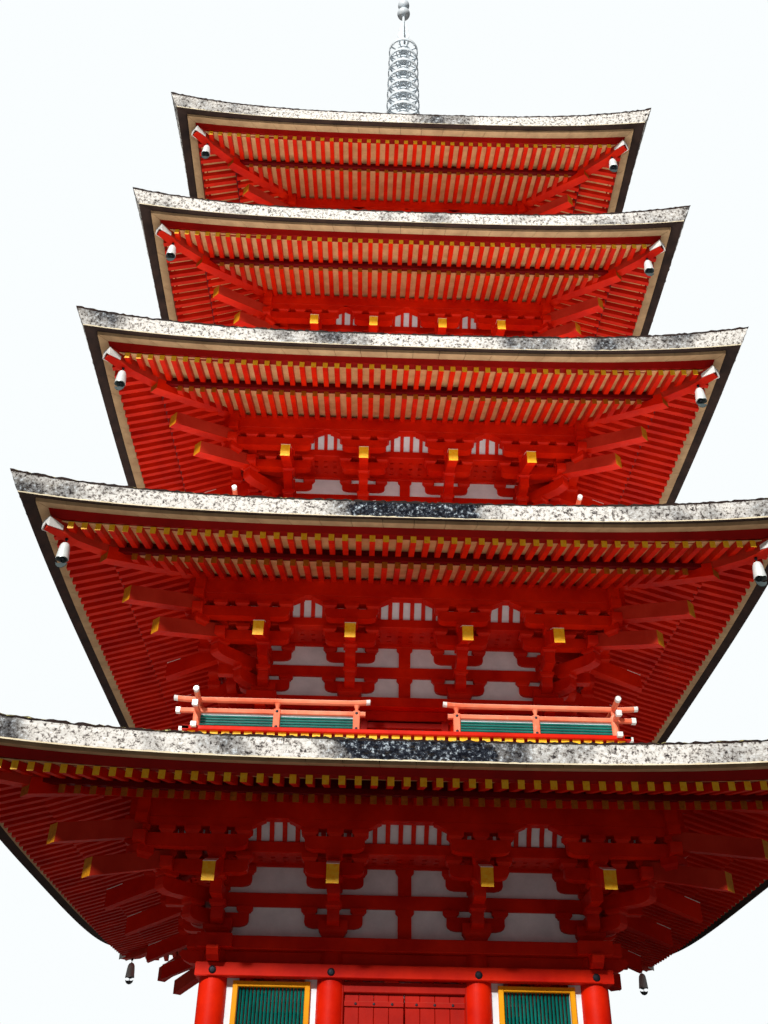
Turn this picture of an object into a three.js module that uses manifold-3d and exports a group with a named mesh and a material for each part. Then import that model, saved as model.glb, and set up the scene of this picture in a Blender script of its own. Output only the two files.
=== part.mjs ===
// Five-storied timber pagoda on a stone podium, with cypress-bark roofs and a bronze finial.
// Millimetres, +Z up. The origin is the middle of the podium's foot, and the front faces -Y.
import * as THREE from "three";
import { mergeVertices } from "three/addons/utils/BufferGeometryUtils.js";
import Module from "manifold-3d";

const wasm = await Module();
wasm.setup();

// The module of the whole tower is the mean spacing of its rafters, and shi() counts in it.
const SHI = 180;
const shi = (count) => count * SHI;

// Clearance between meshes that lie against each other on slanted or round faces.
const GAP = 0.3;

// How far joined pieces run into each other, and cutters past the faces that they open.
const LAP = 1;

// Storeys from the ground up: the three bays of each side in the storey's own rafter spacing, the
// height of the hip rafter's tip, and the top of the balcony's deck below that tip in modules.
const STOREYS = [
  { bays: [8, 10, 8], spacing: 184, tip: 5020 },
  { bays: [7, 9, 7], spacing: 184, tip: 8431, deckDrop: 11.1 },
  { bays: [7, 8, 7], spacing: 180, tip: 11741, deckDrop: 10.0 },
  { bays: [6, 7, 6], spacing: 179, tip: 15008, deckDrop: 10.0 },
  { bays: [5, 6, 5], spacing: 181.5, tip: 18191, deckDrop: 9.8 },
];

// Podium and its four flights of steps
const PODIUM = { height: 900, half: shi(21.3), capThick: 160, capReach: 60, baseThick: 120 };
const STEPS = { count: 5, tread: 300, width: shi(9.5), cheek: 240, cheekRise: 130 };

// Timber of the storeys, with heights below the hip tip in modules
const COLUMN_RADIUS = shi(0.975);
const COLUMN_SIDES = 8;
// Corners of an eight-sided column with the round one's section area, and half its width across flats
const COLUMN_ANGLE = (2 * Math.PI) / COLUMN_SIDES;
const COLUMN_CORNER = COLUMN_RADIUS * Math.sqrt(COLUMN_ANGLE / Math.sin(COLUMN_ANGLE));
const COLUMN_FLAT = COLUMN_CORNER * Math.cos(COLUMN_ANGLE / 2);
const WALL_HALF = shi(0.3);
const WALL_SIDE = 0.302;
const BEAM_REACH = shi(1.2);
const HEAD_TIE = { bottom: -8.3, top: -7.5 };
const CAP_PLATE = { bottom: -7.5, top: -6.65 };
const TOP_WALL_RISE = 3.1;
const GROUND_RAIL = { height: 0.8 };
const LINTEL_RAIL = { bottom: -9.34, top: -8.42 };
const SILL_RAIL = { bottom: -18.3, top: -17.5 };
const UPPER_SILL = 0.5;
const UPPER_DOOR = { half: 2.95, leaf: 0.25 };
const UPPER_WINDOW = { margin: 1.6, head: -8.6 };

// Ground storey's windows and doors
const WINDOW = { margin: 0.72, bottom: -17.2, top: -9.75 };
const PANEL_HALF = shi(0.25);
const DOOR = { jamb: 0.7, head: 0.8, sill: 0.4, leafHalf: 0.14, seam: 0.06 };

// Bracket clusters: side profiles as [out from the wall line, height], and the beams across them
const BRACKET_WIDTH = shi(0.8);
const BRACKET_PROFILE = [
  [WALL_SIDE, -6.65], [0.95, -6.65], [2.05, -5.6], [3.78, -4.4], [3.78, -3.32], [8.13, -5.18],
  [8.13, -3.92], [5.6, -2.82], [5.6, -0.2], [WALL_SIDE, -0.2],
];
const CORNER_PROFILE = [
  [WALL_SIDE, -6.65], [0.95, -6.65], [2.05, -5.6], [3.78, -4.4], [3.78, -3.32], [7.86, -5.07],
  [7.86, -3.82], [6.4, -3.18], [6.4, -2.1], [9.91, -3.54], [9.91, -2.28], [5.6, -0.25],
  [WALL_SIDE, -0.2],
];
const PURLIN = { out: 5.2, half: 0.46, bottom: -0.3, top: 0.96, overrun: 1.0 };

// Eaves: points as [out, height] at mid side and at the corner. The curve between them is a power.
const CURVE_POWER = 3.2;
const STATIONS = [-1, -0.75, 0, 0.75];
const EAVE_BOARD = [
  { mid: [16.1, 0.37], corner: [16.1, 1.5] },
  { mid: [14.2, 0.75], corner: [14.4, 1.8] },
];
const RAFTER_SECTION = [
  { mid: [WALL_SIDE, 2.87], corner: [WALL_SIDE, 2.87] },
  { mid: [11.0, -0.7], corner: [11.2, -0.55] },
  { mid: [11.2, 0.0], corner: [11.4, 0.25] },
  { mid: [14.9, -0.74], corner: [15.0, -0.02] },
  { mid: [15.3, 0.22], corner: [15.3, 1.15] },
  { mid: [16.08, 0.09], corner: [16.05, 1.17] },
  ...EAVE_BOARD,
  { mid: [WALL_SIDE, 3.5], corner: [WALL_SIDE, 3.5] },
];
const HIP_WIDTH = shi(0.85);
const HIP_PROFILE = [
  [WALL_SIDE, 2.9], [6.4, 1.06], [11.65, -1.0], [11.65, -0.25], [15.2, -0.44], [15.2, 0.55],
  [WALL_SIDE, 3.3],
];

// Bark roofs: the eave's edge as above, and where the roof dies against the balcony above
const BARK = {
  lower: { mid: [16.9, 0.02], corner: [17.07, 1.27] },
  upper: { mid: [17.1, 1.38], corner: [17.8, 2.83] },
  thickness: 1.3,
  collarOut: 2.6,
  collarRise: 5.4,
  sag: 0.3,
  steps: [0.3, 0.7],
};
const TOP_ROOF = { half: 3.6, rise: 17.35, sag: 0.42 };

// Balconies: the deck, the skirt that stands in the roof's collar, and the railing
const DECK = { out: 5.3, board: 0.3, joist: 0.65, joistOut: 5.0 };
const SKIRT = { inner: 2.1, foot: 2.6 };
const RAIL = { line: 4.9, gate: 2.8, overrun: 1.8, top: 2.5, middle: 1.75 };
const RAIL_BAR = 0.34;
const RAIL_PANEL = 0.12;
const POST = { half: 0.26, spacing: 6.05, cornerHalf: 0.3, cornerHeight: 3.2 };

// Wind bells under the hip rafters
const BELL = {
  out: 13.93, chainTop: -0.2, chainRadius: 0.08, crown: -1.01, crownRadius: 0.28, lip: -2.56,
  radius: 0.46, sides: 6, plateHalf: 0.75, plateTop: -2.74, plateBottom: -3.32, plateThick: 0.06,
};

// Finial, with heights above the top roof's collar in modules
const DEW_BASIN = { half: 3.3, height: 3.8, lipHalf: 3.7, lipHeight: 0.55 };
const FINIAL_SIDES = 12;
const RING_SIDES = 8;
const BOWL_PROFILE = [[2.8, 0], [2.72, 1.28], [2.0, 2.56], [1.12, 3.2]];
const LOTUS_PROFILE = [[1.2, 0], [1.2, 0.4], [3.1, 2.2], [2.48, 2.2], [1.2, 1.3]];
const MAST_RADIUS = shi(0.42);
const RINGS = {
  count: 9, topHeight: 153.6, pitch: 2.87, topRadius: 2.31, bottomRadius: 2.62, tall: 0.75, band: 0.32,
};
const SPOKE = { half: 0.13, bottom: -0.52, top: -0.26, lap: 0.03 };
// Flame wings as [share of the half width, share of the height]
const FLAME = { bottom: 154.9, top: 162.4, half: 1.0, thick: 0.16, core: 0.25 };
const FLAME_OUTLINE = [
  [0, 0], [0.45, 0.03], [1, 0.2], [0.78, 0.32], [0.96, 0.46], [0.66, 0.58], [0.76, 0.66], [0.46, 0.78],
  [0.5, 0.86], [0.22, 1], [0, 0.96],
];
// The ball and the jewel above it, as [radius, height above the ball's foot]
const BALL_FOOT = 163.58;
const JEWEL_PROFILE = [
  [0.25, 0], [0.85, 0.4], [1.05, 1.02], [0.85, 1.64], [0.28, 2.05], [0.28, 2.6], [0.76, 2.85],
  [0.95, 3.5], [0.7, 4.4], [0, 5.42],
];
const FINIAL_DATUM = { height: 3850, count: 17.5 };

const timber = new THREE.MeshStandardMaterial({ color: 0xc4220f, roughness: 0.55, metalness: 0 });
const shadedTimber = new THREE.MeshStandardMaterial({ color: 0xa81c0e, roughness: 0.6, metalness: 0 });
const doorTimber = new THREE.MeshStandardMaterial({ color: 0x9c1a0d, roughness: 0.5, metalness: 0 });
const stone = new THREE.MeshStandardMaterial({ color: 0xa39e93, roughness: 0.85, metalness: 0 });
const bark = new THREE.MeshStandardMaterial({ color: 0x6b6259, roughness: 0.95, metalness: 0 });
const bronze = new THREE.MeshStandardMaterial({ color: 0x5d6f6b, roughness: 0.45, metalness: 0.8 });

// Solid helpers

function box([x0, x1], [y0, y1], [z0, z1]) {
  const geometry = new THREE.BoxGeometry(x1 - x0, y1 - y0, z1 - z0);
  return geometry.translate((x0 + x1) / 2, (y0 + y1) / 2, (z0 + z1) / 2);
}

function post(x, y, half, [z0, z1]) {
  return box([x - half, x + half], [y - half, y + half], [z0, z1]);
}

// An exact quarter turn keeps flat faces flat.
function turned(geometry, quarters) {
  const [cos, sin] = [[1, 0], [0, 1], [-1, 0], [0, -1]][quarters];
  const turn = new THREE.Matrix4().set(cos, -sin, 0, 0, sin, cos, 0, 0, 0, 0, 1, 0, 0, 0, 0, 1);
  return geometry.applyMatrix4(turn);
}

function onFourSides(make) {
  return [0, 1, 2, 3].flatMap((quarters) => make().map((geometry) => turned(geometry, quarters)));
}

function solidOf(geometry) {
  const bare = geometry.clone();
  bare.deleteAttribute("normal");
  bare.deleteAttribute("uv");
  const merged = mergeVertices(bare, 1e-3);
  return new wasm.Manifold(new wasm.Mesh({
    numProp: 3,
    vertProperties: new Float32Array(merged.getAttribute("position").array),
    triVerts: new Uint32Array(merged.index.array),
  }));
}

function geometryOf(solid) {
  const { vertProperties, triVerts } = solid.getMesh();
  const geometry = new THREE.BufferGeometry();
  geometry.setAttribute("position", new THREE.BufferAttribute(vertProperties, 3));
  geometry.setIndex(new THREE.BufferAttribute(triVerts, 1));
  geometry.computeVertexNormals();
  return geometry;
}

function joined(geometries) {
  return geometryOf(geometries.map(solidOf).reduce((whole, solid) => whole.add(solid)));
}

function carved(geometry, cutters) {
  const body = solidOf(geometry);
  return geometryOf(cutters.map(solidOf).reduce((whole, solid) => whole.subtract(solid), body));
}

// A square ring with upright faces around the tower's axis
function squareRing(outer, inner, [z0, z1]) {
  const core = box([-inner, inner], [-inner, inner], [z0 - LAP, z1 + LAP]);
  return carved(box([-outer, outer], [-outer, outer], [z0, z1]), [core]);
}

// A plate cut to an outline of [out, height] points, standing square to the wall
function uprightPlate(outline, width) {
  const shape = new THREE.Shape(outline.map(([out, height]) => new THREE.Vector2(out, height)));
  const plate = new THREE.ExtrudeGeometry(shape, { depth: width, bevelEnabled: false });
  plate.translate(0, 0, -width / 2);
  const basis = new THREE.Matrix4().makeBasis(
    new THREE.Vector3(0, -1, 0), new THREE.Vector3(0, 0, 1), new THREE.Vector3(-1, 0, 0),
  );
  return plate.applyMatrix4(basis);
}

// The same plate on the diagonal, where a step outward is longer by the square root of two
function diagonalPlate(outline, width) {
  const stretched = outline.map(([out, height]) => [out * Math.SQRT2, height]);
  return uprightPlate(stretched, width).rotateZ(Math.PI / 4);
}

// A closed ring around the tower whose section rises towards the corners. The section lists its
// points from the inner foot outward, up the edge and back inward along the top. Faces that lie
// on each other are split along the same diagonal, whichever ring they belong to.
function risingRing(section) {
  const positions = [];
  const index = [];
  for (let quarters = 0; quarters < 4; quarters += 1) {
    const side = new THREE.BufferGeometry();
    const sidePositions = [];
    for (const station of STATIONS) {
      const bend = Math.abs(station) ** CURVE_POWER;
      for (const { mid, corner } of section) {
        const out = THREE.MathUtils.lerp(mid[0], corner[0], bend);
        const height = THREE.MathUtils.lerp(mid[1], corner[1], bend);
        sidePositions.push(station * corner[0], -out, height);
      }
    }
    side.setAttribute("position", new THREE.Float32BufferAttribute(sidePositions, 3));
    positions.push(...turned(side, quarters).getAttribute("position").array);
  }
  const points = section.length;
  const stations = 4 * STATIONS.length;
  for (let station = 0; station < stations; station += 1) {
    for (let point = 0; point < points; point += 1) {
      const next = (station + 1) % stations;
      const above = (point + 1) % points;
      const [a, b] = [station * points + point, next * points + point];
      const [c, d] = [next * points + above, station * points + above];
      const outward = section[above].mid[0] > section[point].mid[0];
      index.push(...(outward ? [a, b, d, b, c, d] : [a, b, c, a, c, d]));
    }
  }
  const ring = new THREE.BufferGeometry();
  ring.setAttribute("position", new THREE.Float32BufferAttribute(positions, 3));
  ring.setIndex(index);
  return ring;
}

// A section in spacings from the wall line and modules from the tip, brought to millimetres
function placed(section, storey) {
  const place = ([out, height]) => [storey.reach(out), storey.height(height)];
  return section.map(({ mid, corner }) => ({ mid: place(mid), corner: place(corner) }));
}

function lathe(profile, sides) {
  const points = profile.map(([radius, height]) => new THREE.Vector2(radius, height));
  return new THREE.LatheGeometry(points, sides).rotateX(Math.PI / 2).rotateZ(Math.PI / sides);
}

// A solid turned from an outline in modules that stands on the height foot
function turnedOn(foot, outline) {
  const rim = outline.map(([radius, height]) => [shi(radius), foot + shi(height)]);
  const ends = [rim[0], rim[rim.length - 1]].map(([, height]) => [0, height]);
  const closing = rim[rim.length - 1][0] > 0 ? [ends[1]] : [];
  return geometryOf(solidOf(lathe([ends[0], ...rim, ...closing], FINIAL_SIDES)));
}

// A round post as a prism that turns its flats to the four sides
function column(x, y, radius, sides, [z0, z1]) {
  const geometry = new THREE.CylinderGeometry(radius, radius, z1 - z0, sides);
  geometry.rotateX(Math.PI / 2).rotateZ(Math.PI / sides);
  return geometry.translate(x, y, (z0 + z1) / 2);
}

const pagoda = new THREE.Group();

function addPiece(name, geometry, material) {
  const mesh = new THREE.Mesh(geometry, material);
  mesh.name = name;
  pagoda.add(mesh);
}

// Storey data worked out from the bays
for (const [level, storey] of STOREYS.entries()) {
  const [side, centre] = storey.bays;
  storey.inner = centre / 2;
  storey.half = centre / 2 + side;
  storey.wide = (count) => count * storey.spacing;
  storey.reach = (out) => storey.wide(storey.half + out);
  storey.height = (count) => storey.tip + shi(count);
  storey.above = STOREYS[level + 1];
  storey.floor = level === 0 ? PODIUM.height : storey.height(-storey.deckDrop);
}
const deckUnderside = (storey) => storey.floor - shi(DECK.board + DECK.joist);
const finialHeight = (count) => FINIAL_DATUM.height + shi(count - FINIAL_DATUM.count);

function columnPlaces({ half, inner, wide }) {
  const [far, near] = [wide(half), wide(inner)];
  return [[far, far], [far, near], [far, -near]]
    .flatMap(([x, y]) => [[x, y], [-y, x], [-x, -y], [y, -x]]);
}

// Podium with a projecting cap and a plinth course
function podium() {
  const { height, half, capThick, capReach, baseThick } = PODIUM;
  const body = box([-half, half], [-half, half], [0, height]);
  const capHalf = half + capReach;
  const cap = box([-capHalf, capHalf], [-capHalf, capHalf], [height - capThick, height]);
  const base = box([-capHalf, capHalf], [-capHalf, capHalf], [0, baseThick]);
  addPiece("podium", joined([body, cap, base]), stone);
}

// A flight of steps between two sloping cheek stones, standing against one side of the podium
function stepFlight(name, quarters) {
  const { count, tread, width, cheek, cheekRise } = STEPS;
  const rise = PODIUM.height / count;
  const face = PODIUM.half + PODIUM.capReach;
  const reach = tread * (count - 1);
  const steps = [];
  for (let step = 1; step < count; step += 1) {
    const front = face + tread * (count - step);
    steps.push(box([-width / 2, width / 2], [-front, -face], [0, rise * step]));
  }
  const cheekOutline = [
    [face, 0], [face + reach + tread, 0], [face + reach + tread, cheekRise],
    [face + tread / 2, PODIUM.height - cheekRise / 2], [face, PODIUM.height - cheekRise / 2],
  ];
  const cheeks = [-1, 1].map((hand) => uprightPlate(cheekOutline, cheek)
    .translate(hand * (width + cheek) / 2, 0, 0));
  addPiece(name, turned(joined([...steps, ...cheeks]), quarters), stone);
}

// Frame of the ground storey: columns, head ties, cap plate and the wall up to the first balcony
function groundFrame(storey) {
  const half = storey.reach(0);
  const columns = columnPlaces(storey).map(([x, y]) => column(x, y, COLUMN_CORNER, COLUMN_SIDES,
    [storey.floor, storey.height(HEAD_TIE.bottom) + LAP]));
  const head = squareRing(half + BEAM_REACH, half - BEAM_REACH,
    [storey.height(HEAD_TIE.bottom), storey.height(CAP_PLATE.top)]);
  const wall = squareRing(half + WALL_HALF, half - WALL_HALF,
    [storey.height(CAP_PLATE.top) - LAP, deckUnderside(storey.above)]);
  addPiece("storey1_frame", joined([...columns, head, wall]), timber);
}

// One side of the ground storey: three long rails notched round the columns, and between them
// the panels with their window openings. Front and back run past the corners, the sides butt.
function groundWall(name, quarters, runsPast) {
  const storey = STOREYS[0];
  const half = storey.reach(0);
  const face = half + BEAM_REACH;
  const back = half - WALL_HALF;
  const end = runsPast ? face : back;
  const bands = [
    [storey.floor, storey.floor + shi(GROUND_RAIL.height)],
    [storey.height(SILL_RAIL.bottom), storey.height(SILL_RAIL.top)],
    [storey.height(LINTEL_RAIL.bottom), storey.height(LINTEL_RAIL.top)],
  ];
  const near = storey.wide(storey.inner);
  const rails = bands.map((band) => box([-end, end], [-face, -back], band));
  rails[1] = carved(rails[1], [box([-near, near], [-face - LAP, -back + LAP],
    [bands[1][0] - LAP, bands[1][1] + LAP])]);
  const margin = COLUMN_RADIUS + shi(WINDOW.margin);
  const panels = [-1, 1].map((hand) => {
    const span = (from, to) => [Math.min(hand * from, hand * to), Math.max(hand * from, hand * to)];
    const panel = box(span(near, half), [-half - PANEL_HALF, -half + PANEL_HALF],
      [bands[0][1] - LAP, bands[2][0] + LAP]);
    return carved(panel, [box(span(near + margin, half - margin),
      [-half - PANEL_HALF - LAP, -half + PANEL_HALF + LAP],
      [storey.height(WINDOW.bottom), storey.height(WINDOW.top)])]);
  });
  const notches = [-storey.half, -storey.inner, storey.inner, storey.half].map((place) => post(
    storey.wide(place), -half, COLUMN_FLAT + GAP, [storey.floor - LAP, storey.height(HEAD_TIE.top)],
  ));
  const wall = carved(joined([...rails, ...panels]), notches);
  addPiece(name, turned(wall, quarters), shadedTimber);
}

// A closed pair of plank doors in a frame that fills the centre bay
function groundDoor(name, quarters) {
  const storey = STOREYS[0];
  const half = storey.reach(0);
  const [floor, head] = [storey.floor + shi(GROUND_RAIL.height), storey.height(LINTEL_RAIL.bottom)];
  const frameHalf = storey.wide(storey.inner) - COLUMN_FLAT - GAP;
  const clearHalf = frameHalf - shi(DOOR.jamb);
  const [leafFoot, leafHead] = [floor + shi(DOOR.sill), head - shi(DOOR.head)];
  const frame = carved(
    box([-frameHalf, frameHalf], [-half - WALL_HALF, -half + WALL_HALF], [floor, head]),
    [box([-clearHalf, clearHalf], [-half - WALL_HALF - LAP, -half + WALL_HALF + LAP],
      [leafFoot, leafHead])],
  );
  const leafHalf = shi(DOOR.leafHalf);
  const leaves = [-1, 1].map((hand) => {
    const edges = [hand * shi(DOOR.seam) / 2, hand * (clearHalf + LAP)];
    return box([Math.min(...edges), Math.max(...edges)], [-half - leafHalf, -half + leafHalf],
      [leafFoot - LAP, leafHead + LAP]);
  });
  addPiece(name, turned(joined([frame, ...leaves]), quarters), doorTimber);
}

// An upper storey: columns, rails and the wall ring, with windows cut through and door leaves set in
function upperBody(name, storey) {
  const half = storey.reach(0);
  const top = storey.above ? deckUnderside(storey.above) : storey.height(TOP_WALL_RISE);
  const columns = columnPlaces(storey).map(([x, y]) => column(x, y, COLUMN_CORNER, COLUMN_SIDES,
    [storey.floor, storey.height(HEAD_TIE.bottom) + LAP]));
  const wall = squareRing(half + WALL_HALF, half - WALL_HALF, [storey.floor, top]);
  const sill = storey.floor + shi(UPPER_SILL);
  const openings = onFourSides(() => {
    const depth = [-half - WALL_HALF - LAP, -half + WALL_HALF + LAP];
    const head = storey.height(UPPER_WINDOW.head);
    return [-1, 1].map((hand) => {
      const edges = [hand * storey.wide(storey.inner + UPPER_WINDOW.margin),
        hand * storey.wide(storey.half - UPPER_WINDOW.margin)];
      return box([Math.min(...edges), Math.max(...edges)], depth, [sill, head]);
    });
  });
  const recesses = onFourSides(() => [box(
    [-shi(UPPER_DOOR.half), shi(UPPER_DOOR.half)],
    [-half - WALL_HALF - LAP, -half + WALL_HALF - shi(UPPER_DOOR.leaf)],
    [sill, storey.height(HEAD_TIE.bottom)],
  )]);
  const head = squareRing(half + BEAM_REACH, half - BEAM_REACH,
    [storey.height(HEAD_TIE.bottom), storey.height(CAP_PLATE.top)]);
  const body = joined([carved(wall, [...openings, ...recesses]), ...columns, head]);
  addPiece(name, body, timber);
}

// Bracket clusters over every column, with their tail rafters, joined by the purlins they carry
function brackets(name, storey) {
  const scaled = (outline) => outline.map(([out, height]) => [storey.reach(out), storey.height(height)]);
  const clusters = onFourSides(() => [-storey.half, -storey.inner, storey.inner, storey.half]
    .map((place) => uprightPlate(scaled(BRACKET_PROFILE), BRACKET_WIDTH)
      .translate(storey.wide(place), 0, 0)));
  const corners = onFourSides(() => [diagonalPlate(scaled(CORNER_PROFILE), BRACKET_WIDTH)]);
  const purlins = onFourSides(() => {
    const line = storey.reach(PURLIN.out);
    const end = line + shi(PURLIN.overrun);
    return [box([-end, end], [-line - shi(PURLIN.half), -line + shi(PURLIN.half)],
      [storey.height(PURLIN.bottom), storey.height(PURLIN.top)])];
  });
  addPiece(name, joined([...clusters, ...corners, ...purlins]), shadedTimber);
}

function bell(storey) {
  const out = storey.reach(BELL.out);
  const bellProfile = [
    [0, BELL.plateTop], [BELL.chainRadius, BELL.plateTop], [BELL.chainRadius, BELL.lip],
    [BELL.radius, BELL.lip], [BELL.crownRadius, BELL.crown], [BELL.chainRadius, BELL.crown],
    [BELL.chainRadius, BELL.chainTop], [0, BELL.chainTop],
  ].map(([radius, height]) => [shi(radius), storey.height(height)]);
  const plateHalf = shi(BELL.plateHalf);
  const plate = box([-plateHalf, plateHalf], [-shi(BELL.plateThick), shi(BELL.plateThick)],
    [storey.height(BELL.plateBottom), storey.height(BELL.plateTop) + LAP]);
  return [lathe(bellProfile, BELL.sides), plate]
    .map((geometry) => geometry.rotateZ(Math.PI / 4).translate(-out, -out, 0));
}

// The two tiers of rafters and their boards as one soffit, with the hip rafters and wind bells
function rafters(name, storey) {
  const soffit = risingRing(placed(RAFTER_SECTION, storey));
  const hips = onFourSides(() => [diagonalPlate(
    HIP_PROFILE.map(([out, height]) => [storey.reach(out), storey.height(height)]), HIP_WIDTH,
  ), ...bell(storey)]);
  addPiece(name, joined([soffit, ...hips]), shadedTimber);
}

// A bark roof: a thick edge over the eave, a sagging slope and a collar under the next balcony
function barkRoof(name, storey) {
  const collarHalf = storey.above ? storey.above.reach(BARK.collarOut) : shi(TOP_ROOF.half);
  const collarOut = collarHalf / storey.spacing - storey.half;
  const rise = storey.above ? BARK.collarRise : TOP_ROOF.rise;
  const sag = storey.above ? BARK.sag : TOP_ROOF.sag;
  const slope = (part, ease) => {
    const lift = part * (1 - sag) + part * part * sag;
    const at = ([out, height]) => [
      THREE.MathUtils.lerp(out, collarOut, part), THREE.MathUtils.lerp(height, rise, lift)];
    const mid = at(BARK.upper.mid);
    const corner = at(BARK.upper.corner);
    corner[1] = mid[1] + (corner[1] - mid[1]) * ease;
    return { mid, corner };
  };
  const collarTop = { mid: [collarOut, rise], corner: [collarOut, rise] };
  const collarFoot = [collarOut, rise - BARK.thickness];
  const lifted = ([out, height]) => [out, height + GAP / SHI];
  const [bed, heel] = EAVE_BOARD
    .map(({ mid, corner }) => ({ mid: lifted(mid), corner: lifted(corner) }));
  const section = [
    { mid: collarFoot, corner: collarFoot }, heel, bed, BARK.lower, BARK.upper,
    ...BARK.steps.map((part) => slope(part, 1 - part)), collarTop,
  ];
  const roof = solidOf(risingRing(placed(section, storey)));
  addPiece(name, geometryOf(roof), bark);
}

// A balcony: boarded deck on joists, a skirt down into the roof's collar, and railings that leave
// the centre bay of each side open
function balcony(name, storey) {
  const edge = storey.reach(DECK.out);
  const joistEdge = storey.reach(DECK.joistOut);
  const boards = box([-edge, edge], [-edge, edge], [storey.floor - shi(DECK.board), storey.floor]);
  const joists = box([-joistEdge, joistEdge], [-joistEdge, joistEdge],
    [deckUnderside(storey), storey.floor - shi(DECK.board) + LAP]);
  const skirt = squareRing(storey.reach(BARK.collarOut) - GAP, storey.reach(SKIRT.inner),
    [deckUnderside(storey) - shi(SKIRT.foot), deckUnderside(storey) + LAP]);
  const line = storey.reach(RAIL.line);
  const bar = shi(RAIL_BAR) / 2;
  const top = storey.floor + shi(RAIL.top);
  const middle = storey.floor + shi(RAIL.middle);
  const gate = line - storey.wide(POST.spacing)
    * Math.floor((line - shi(RAIL.gate)) / storey.wide(POST.spacing));
  const railings = onFourSides(() => [-1, 1].flatMap((hand) => {
    const span = (from, to) => [Math.min(hand * from, hand * to), Math.max(hand * from, hand * to)];
    const across = [-line - bar, -line + bar];
    const run = span(shi(RAIL.gate), line + shi(RAIL.overrun));
    const panel = box(span(gate, line), [-line - shi(RAIL_PANEL), -line + shi(RAIL_PANEL)],
      [storey.floor - LAP, middle]);
    const gatePost = post(hand * gate, -line, shi(POST.half), [storey.floor - LAP, top]);
    return [box(run, across, [top - bar, top + bar]), panel, gatePost];
  }));
  const cornerPosts = onFourSides(() => [post(-line, -line, shi(POST.cornerHalf),
    [storey.floor - LAP, storey.floor + shi(POST.cornerHeight)])]);
  addPiece(name, joined([boards, joists, skirt, ...railings, ...cornerPosts]), timber);
}

// Finial
function dewBasin(foot) {
  const [half, lip] = [shi(DEW_BASIN.half), shi(DEW_BASIN.lipHalf)];
  const top = foot + shi(DEW_BASIN.height);
  const body = box([-half, half], [-half, half], [foot, top]);
  const rims = [[foot, foot + shi(DEW_BASIN.lipHeight)], [top - shi(DEW_BASIN.lipHeight), top]]
    .map((band) => box([-lip, lip], [-lip, lip], band));
  addPiece("finial_base", joined([body, ...rims]), bronze);
  return top;
}

// The height of an outline's last point above the foot that it stands on
function topOf(foot, outline) {
  return foot + shi(outline[outline.length - 1][1]);
}

function bowlAndLotus(foot) {
  addPiece("finial_bowl", turnedOn(foot, BOWL_PROFILE), bronze);
  const lotusFoot = topOf(foot, BOWL_PROFILE);
  addPiece("finial_lotus", turnedOn(lotusFoot, LOTUS_PROFILE), bronze);
  return topOf(lotusFoot, LOTUS_PROFILE);
}

// The mast with its nine rings, each carried by crossed spokes
function ringedMast(foot) {
  const parts = [column(0, 0, MAST_RADIUS, RING_SIDES, [foot, finialHeight(FLAME.bottom)])];
  for (let ring = 0; ring < RINGS.count; ring += 1) {
    const height = finialHeight(RINGS.topHeight - ring * RINGS.pitch);
    const share = ring / (RINGS.count - 1);
    const radius = shi(THREE.MathUtils.lerp(RINGS.topRadius, RINGS.bottomRadius, share));
    const [inner, base] = [radius - shi(RINGS.band), height - shi(RINGS.tall)];
    parts.push(lathe([[inner, base], [radius, base], [radius, height], [inner, height], [inner, base]],
      RING_SIDES));
    const [reach, spoke] = [inner + shi(SPOKE.lap), shi(SPOKE.half)];
    const level = [height + shi(SPOKE.bottom), height + shi(SPOKE.top)];
    parts.push(box([-reach, reach], [-spoke, spoke], level));
    parts.push(box([-spoke, spoke], [-reach, reach], level));
  }
  addPiece("finial_mast_and_rings", joined(parts), bronze);
}

// Four flame wings, the small ball and the jewel at the very top
function flameAndJewels() {
  const [foot, top] = [finialHeight(FLAME.bottom), finialHeight(FLAME.top)];
  const wing = FLAME_OUTLINE.map(([out, up]) => [
    out * shi(FLAME.half), THREE.MathUtils.lerp(foot, top, up)]);
  const wings = onFourSides(() => [uprightPlate(wing, shi(FLAME.thick))]);
  const ball = finialHeight(BALL_FOOT);
  const core = column(0, 0, shi(FLAME.core), RING_SIDES, [foot, ball]);
  addPiece("finial_flame", joined([core, ...wings]), bronze);
  addPiece("finial_jewels", turnedOn(ball, JEWEL_PROFILE), bronze);
}

podium();
["front", "right", "back", "left"].forEach((side, quarters) => {
  stepFlight(`steps_${side}`, quarters);
  groundWall(`storey1_wall_${side}`, quarters, quarters % 2 === 0);
  groundDoor(`storey1_door_${side}`, quarters);
});
groundFrame(STOREYS[0]);
for (const [level, storey] of STOREYS.entries()) {
  const number = level + 1;
  if (level > 0) {
    balcony(`storey${number}_balcony`, storey);
    upperBody(`storey${number}_body`, storey);
  }
  brackets(`storey${number}_brackets`, storey);
  rafters(`roof${number}_rafters`, storey);
  barkRoof(`roof${number}_bark`, storey);
}
const collarHeight = STOREYS[4].height(TOP_ROOF.rise);
ringedMast(bowlAndLotus(dewBasin(collarHeight)));
flameAndJewels();

export default pagoda;
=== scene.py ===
"""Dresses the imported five-storied pagoda with detailed timber, plaster, bark, bronze and stone.

Lengths are counted in modules until a piece becomes a mesh, which spreads it sideways by its
storey's own rafter spacing. On the front side a place is given as (along, out, height): along runs
to +X, out is the distance from the storey's wall line towards -Y, and heights start at the part's level.
"""

import math

import bpy
import numpy as np
from mathutils import Matrix, Vector


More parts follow.
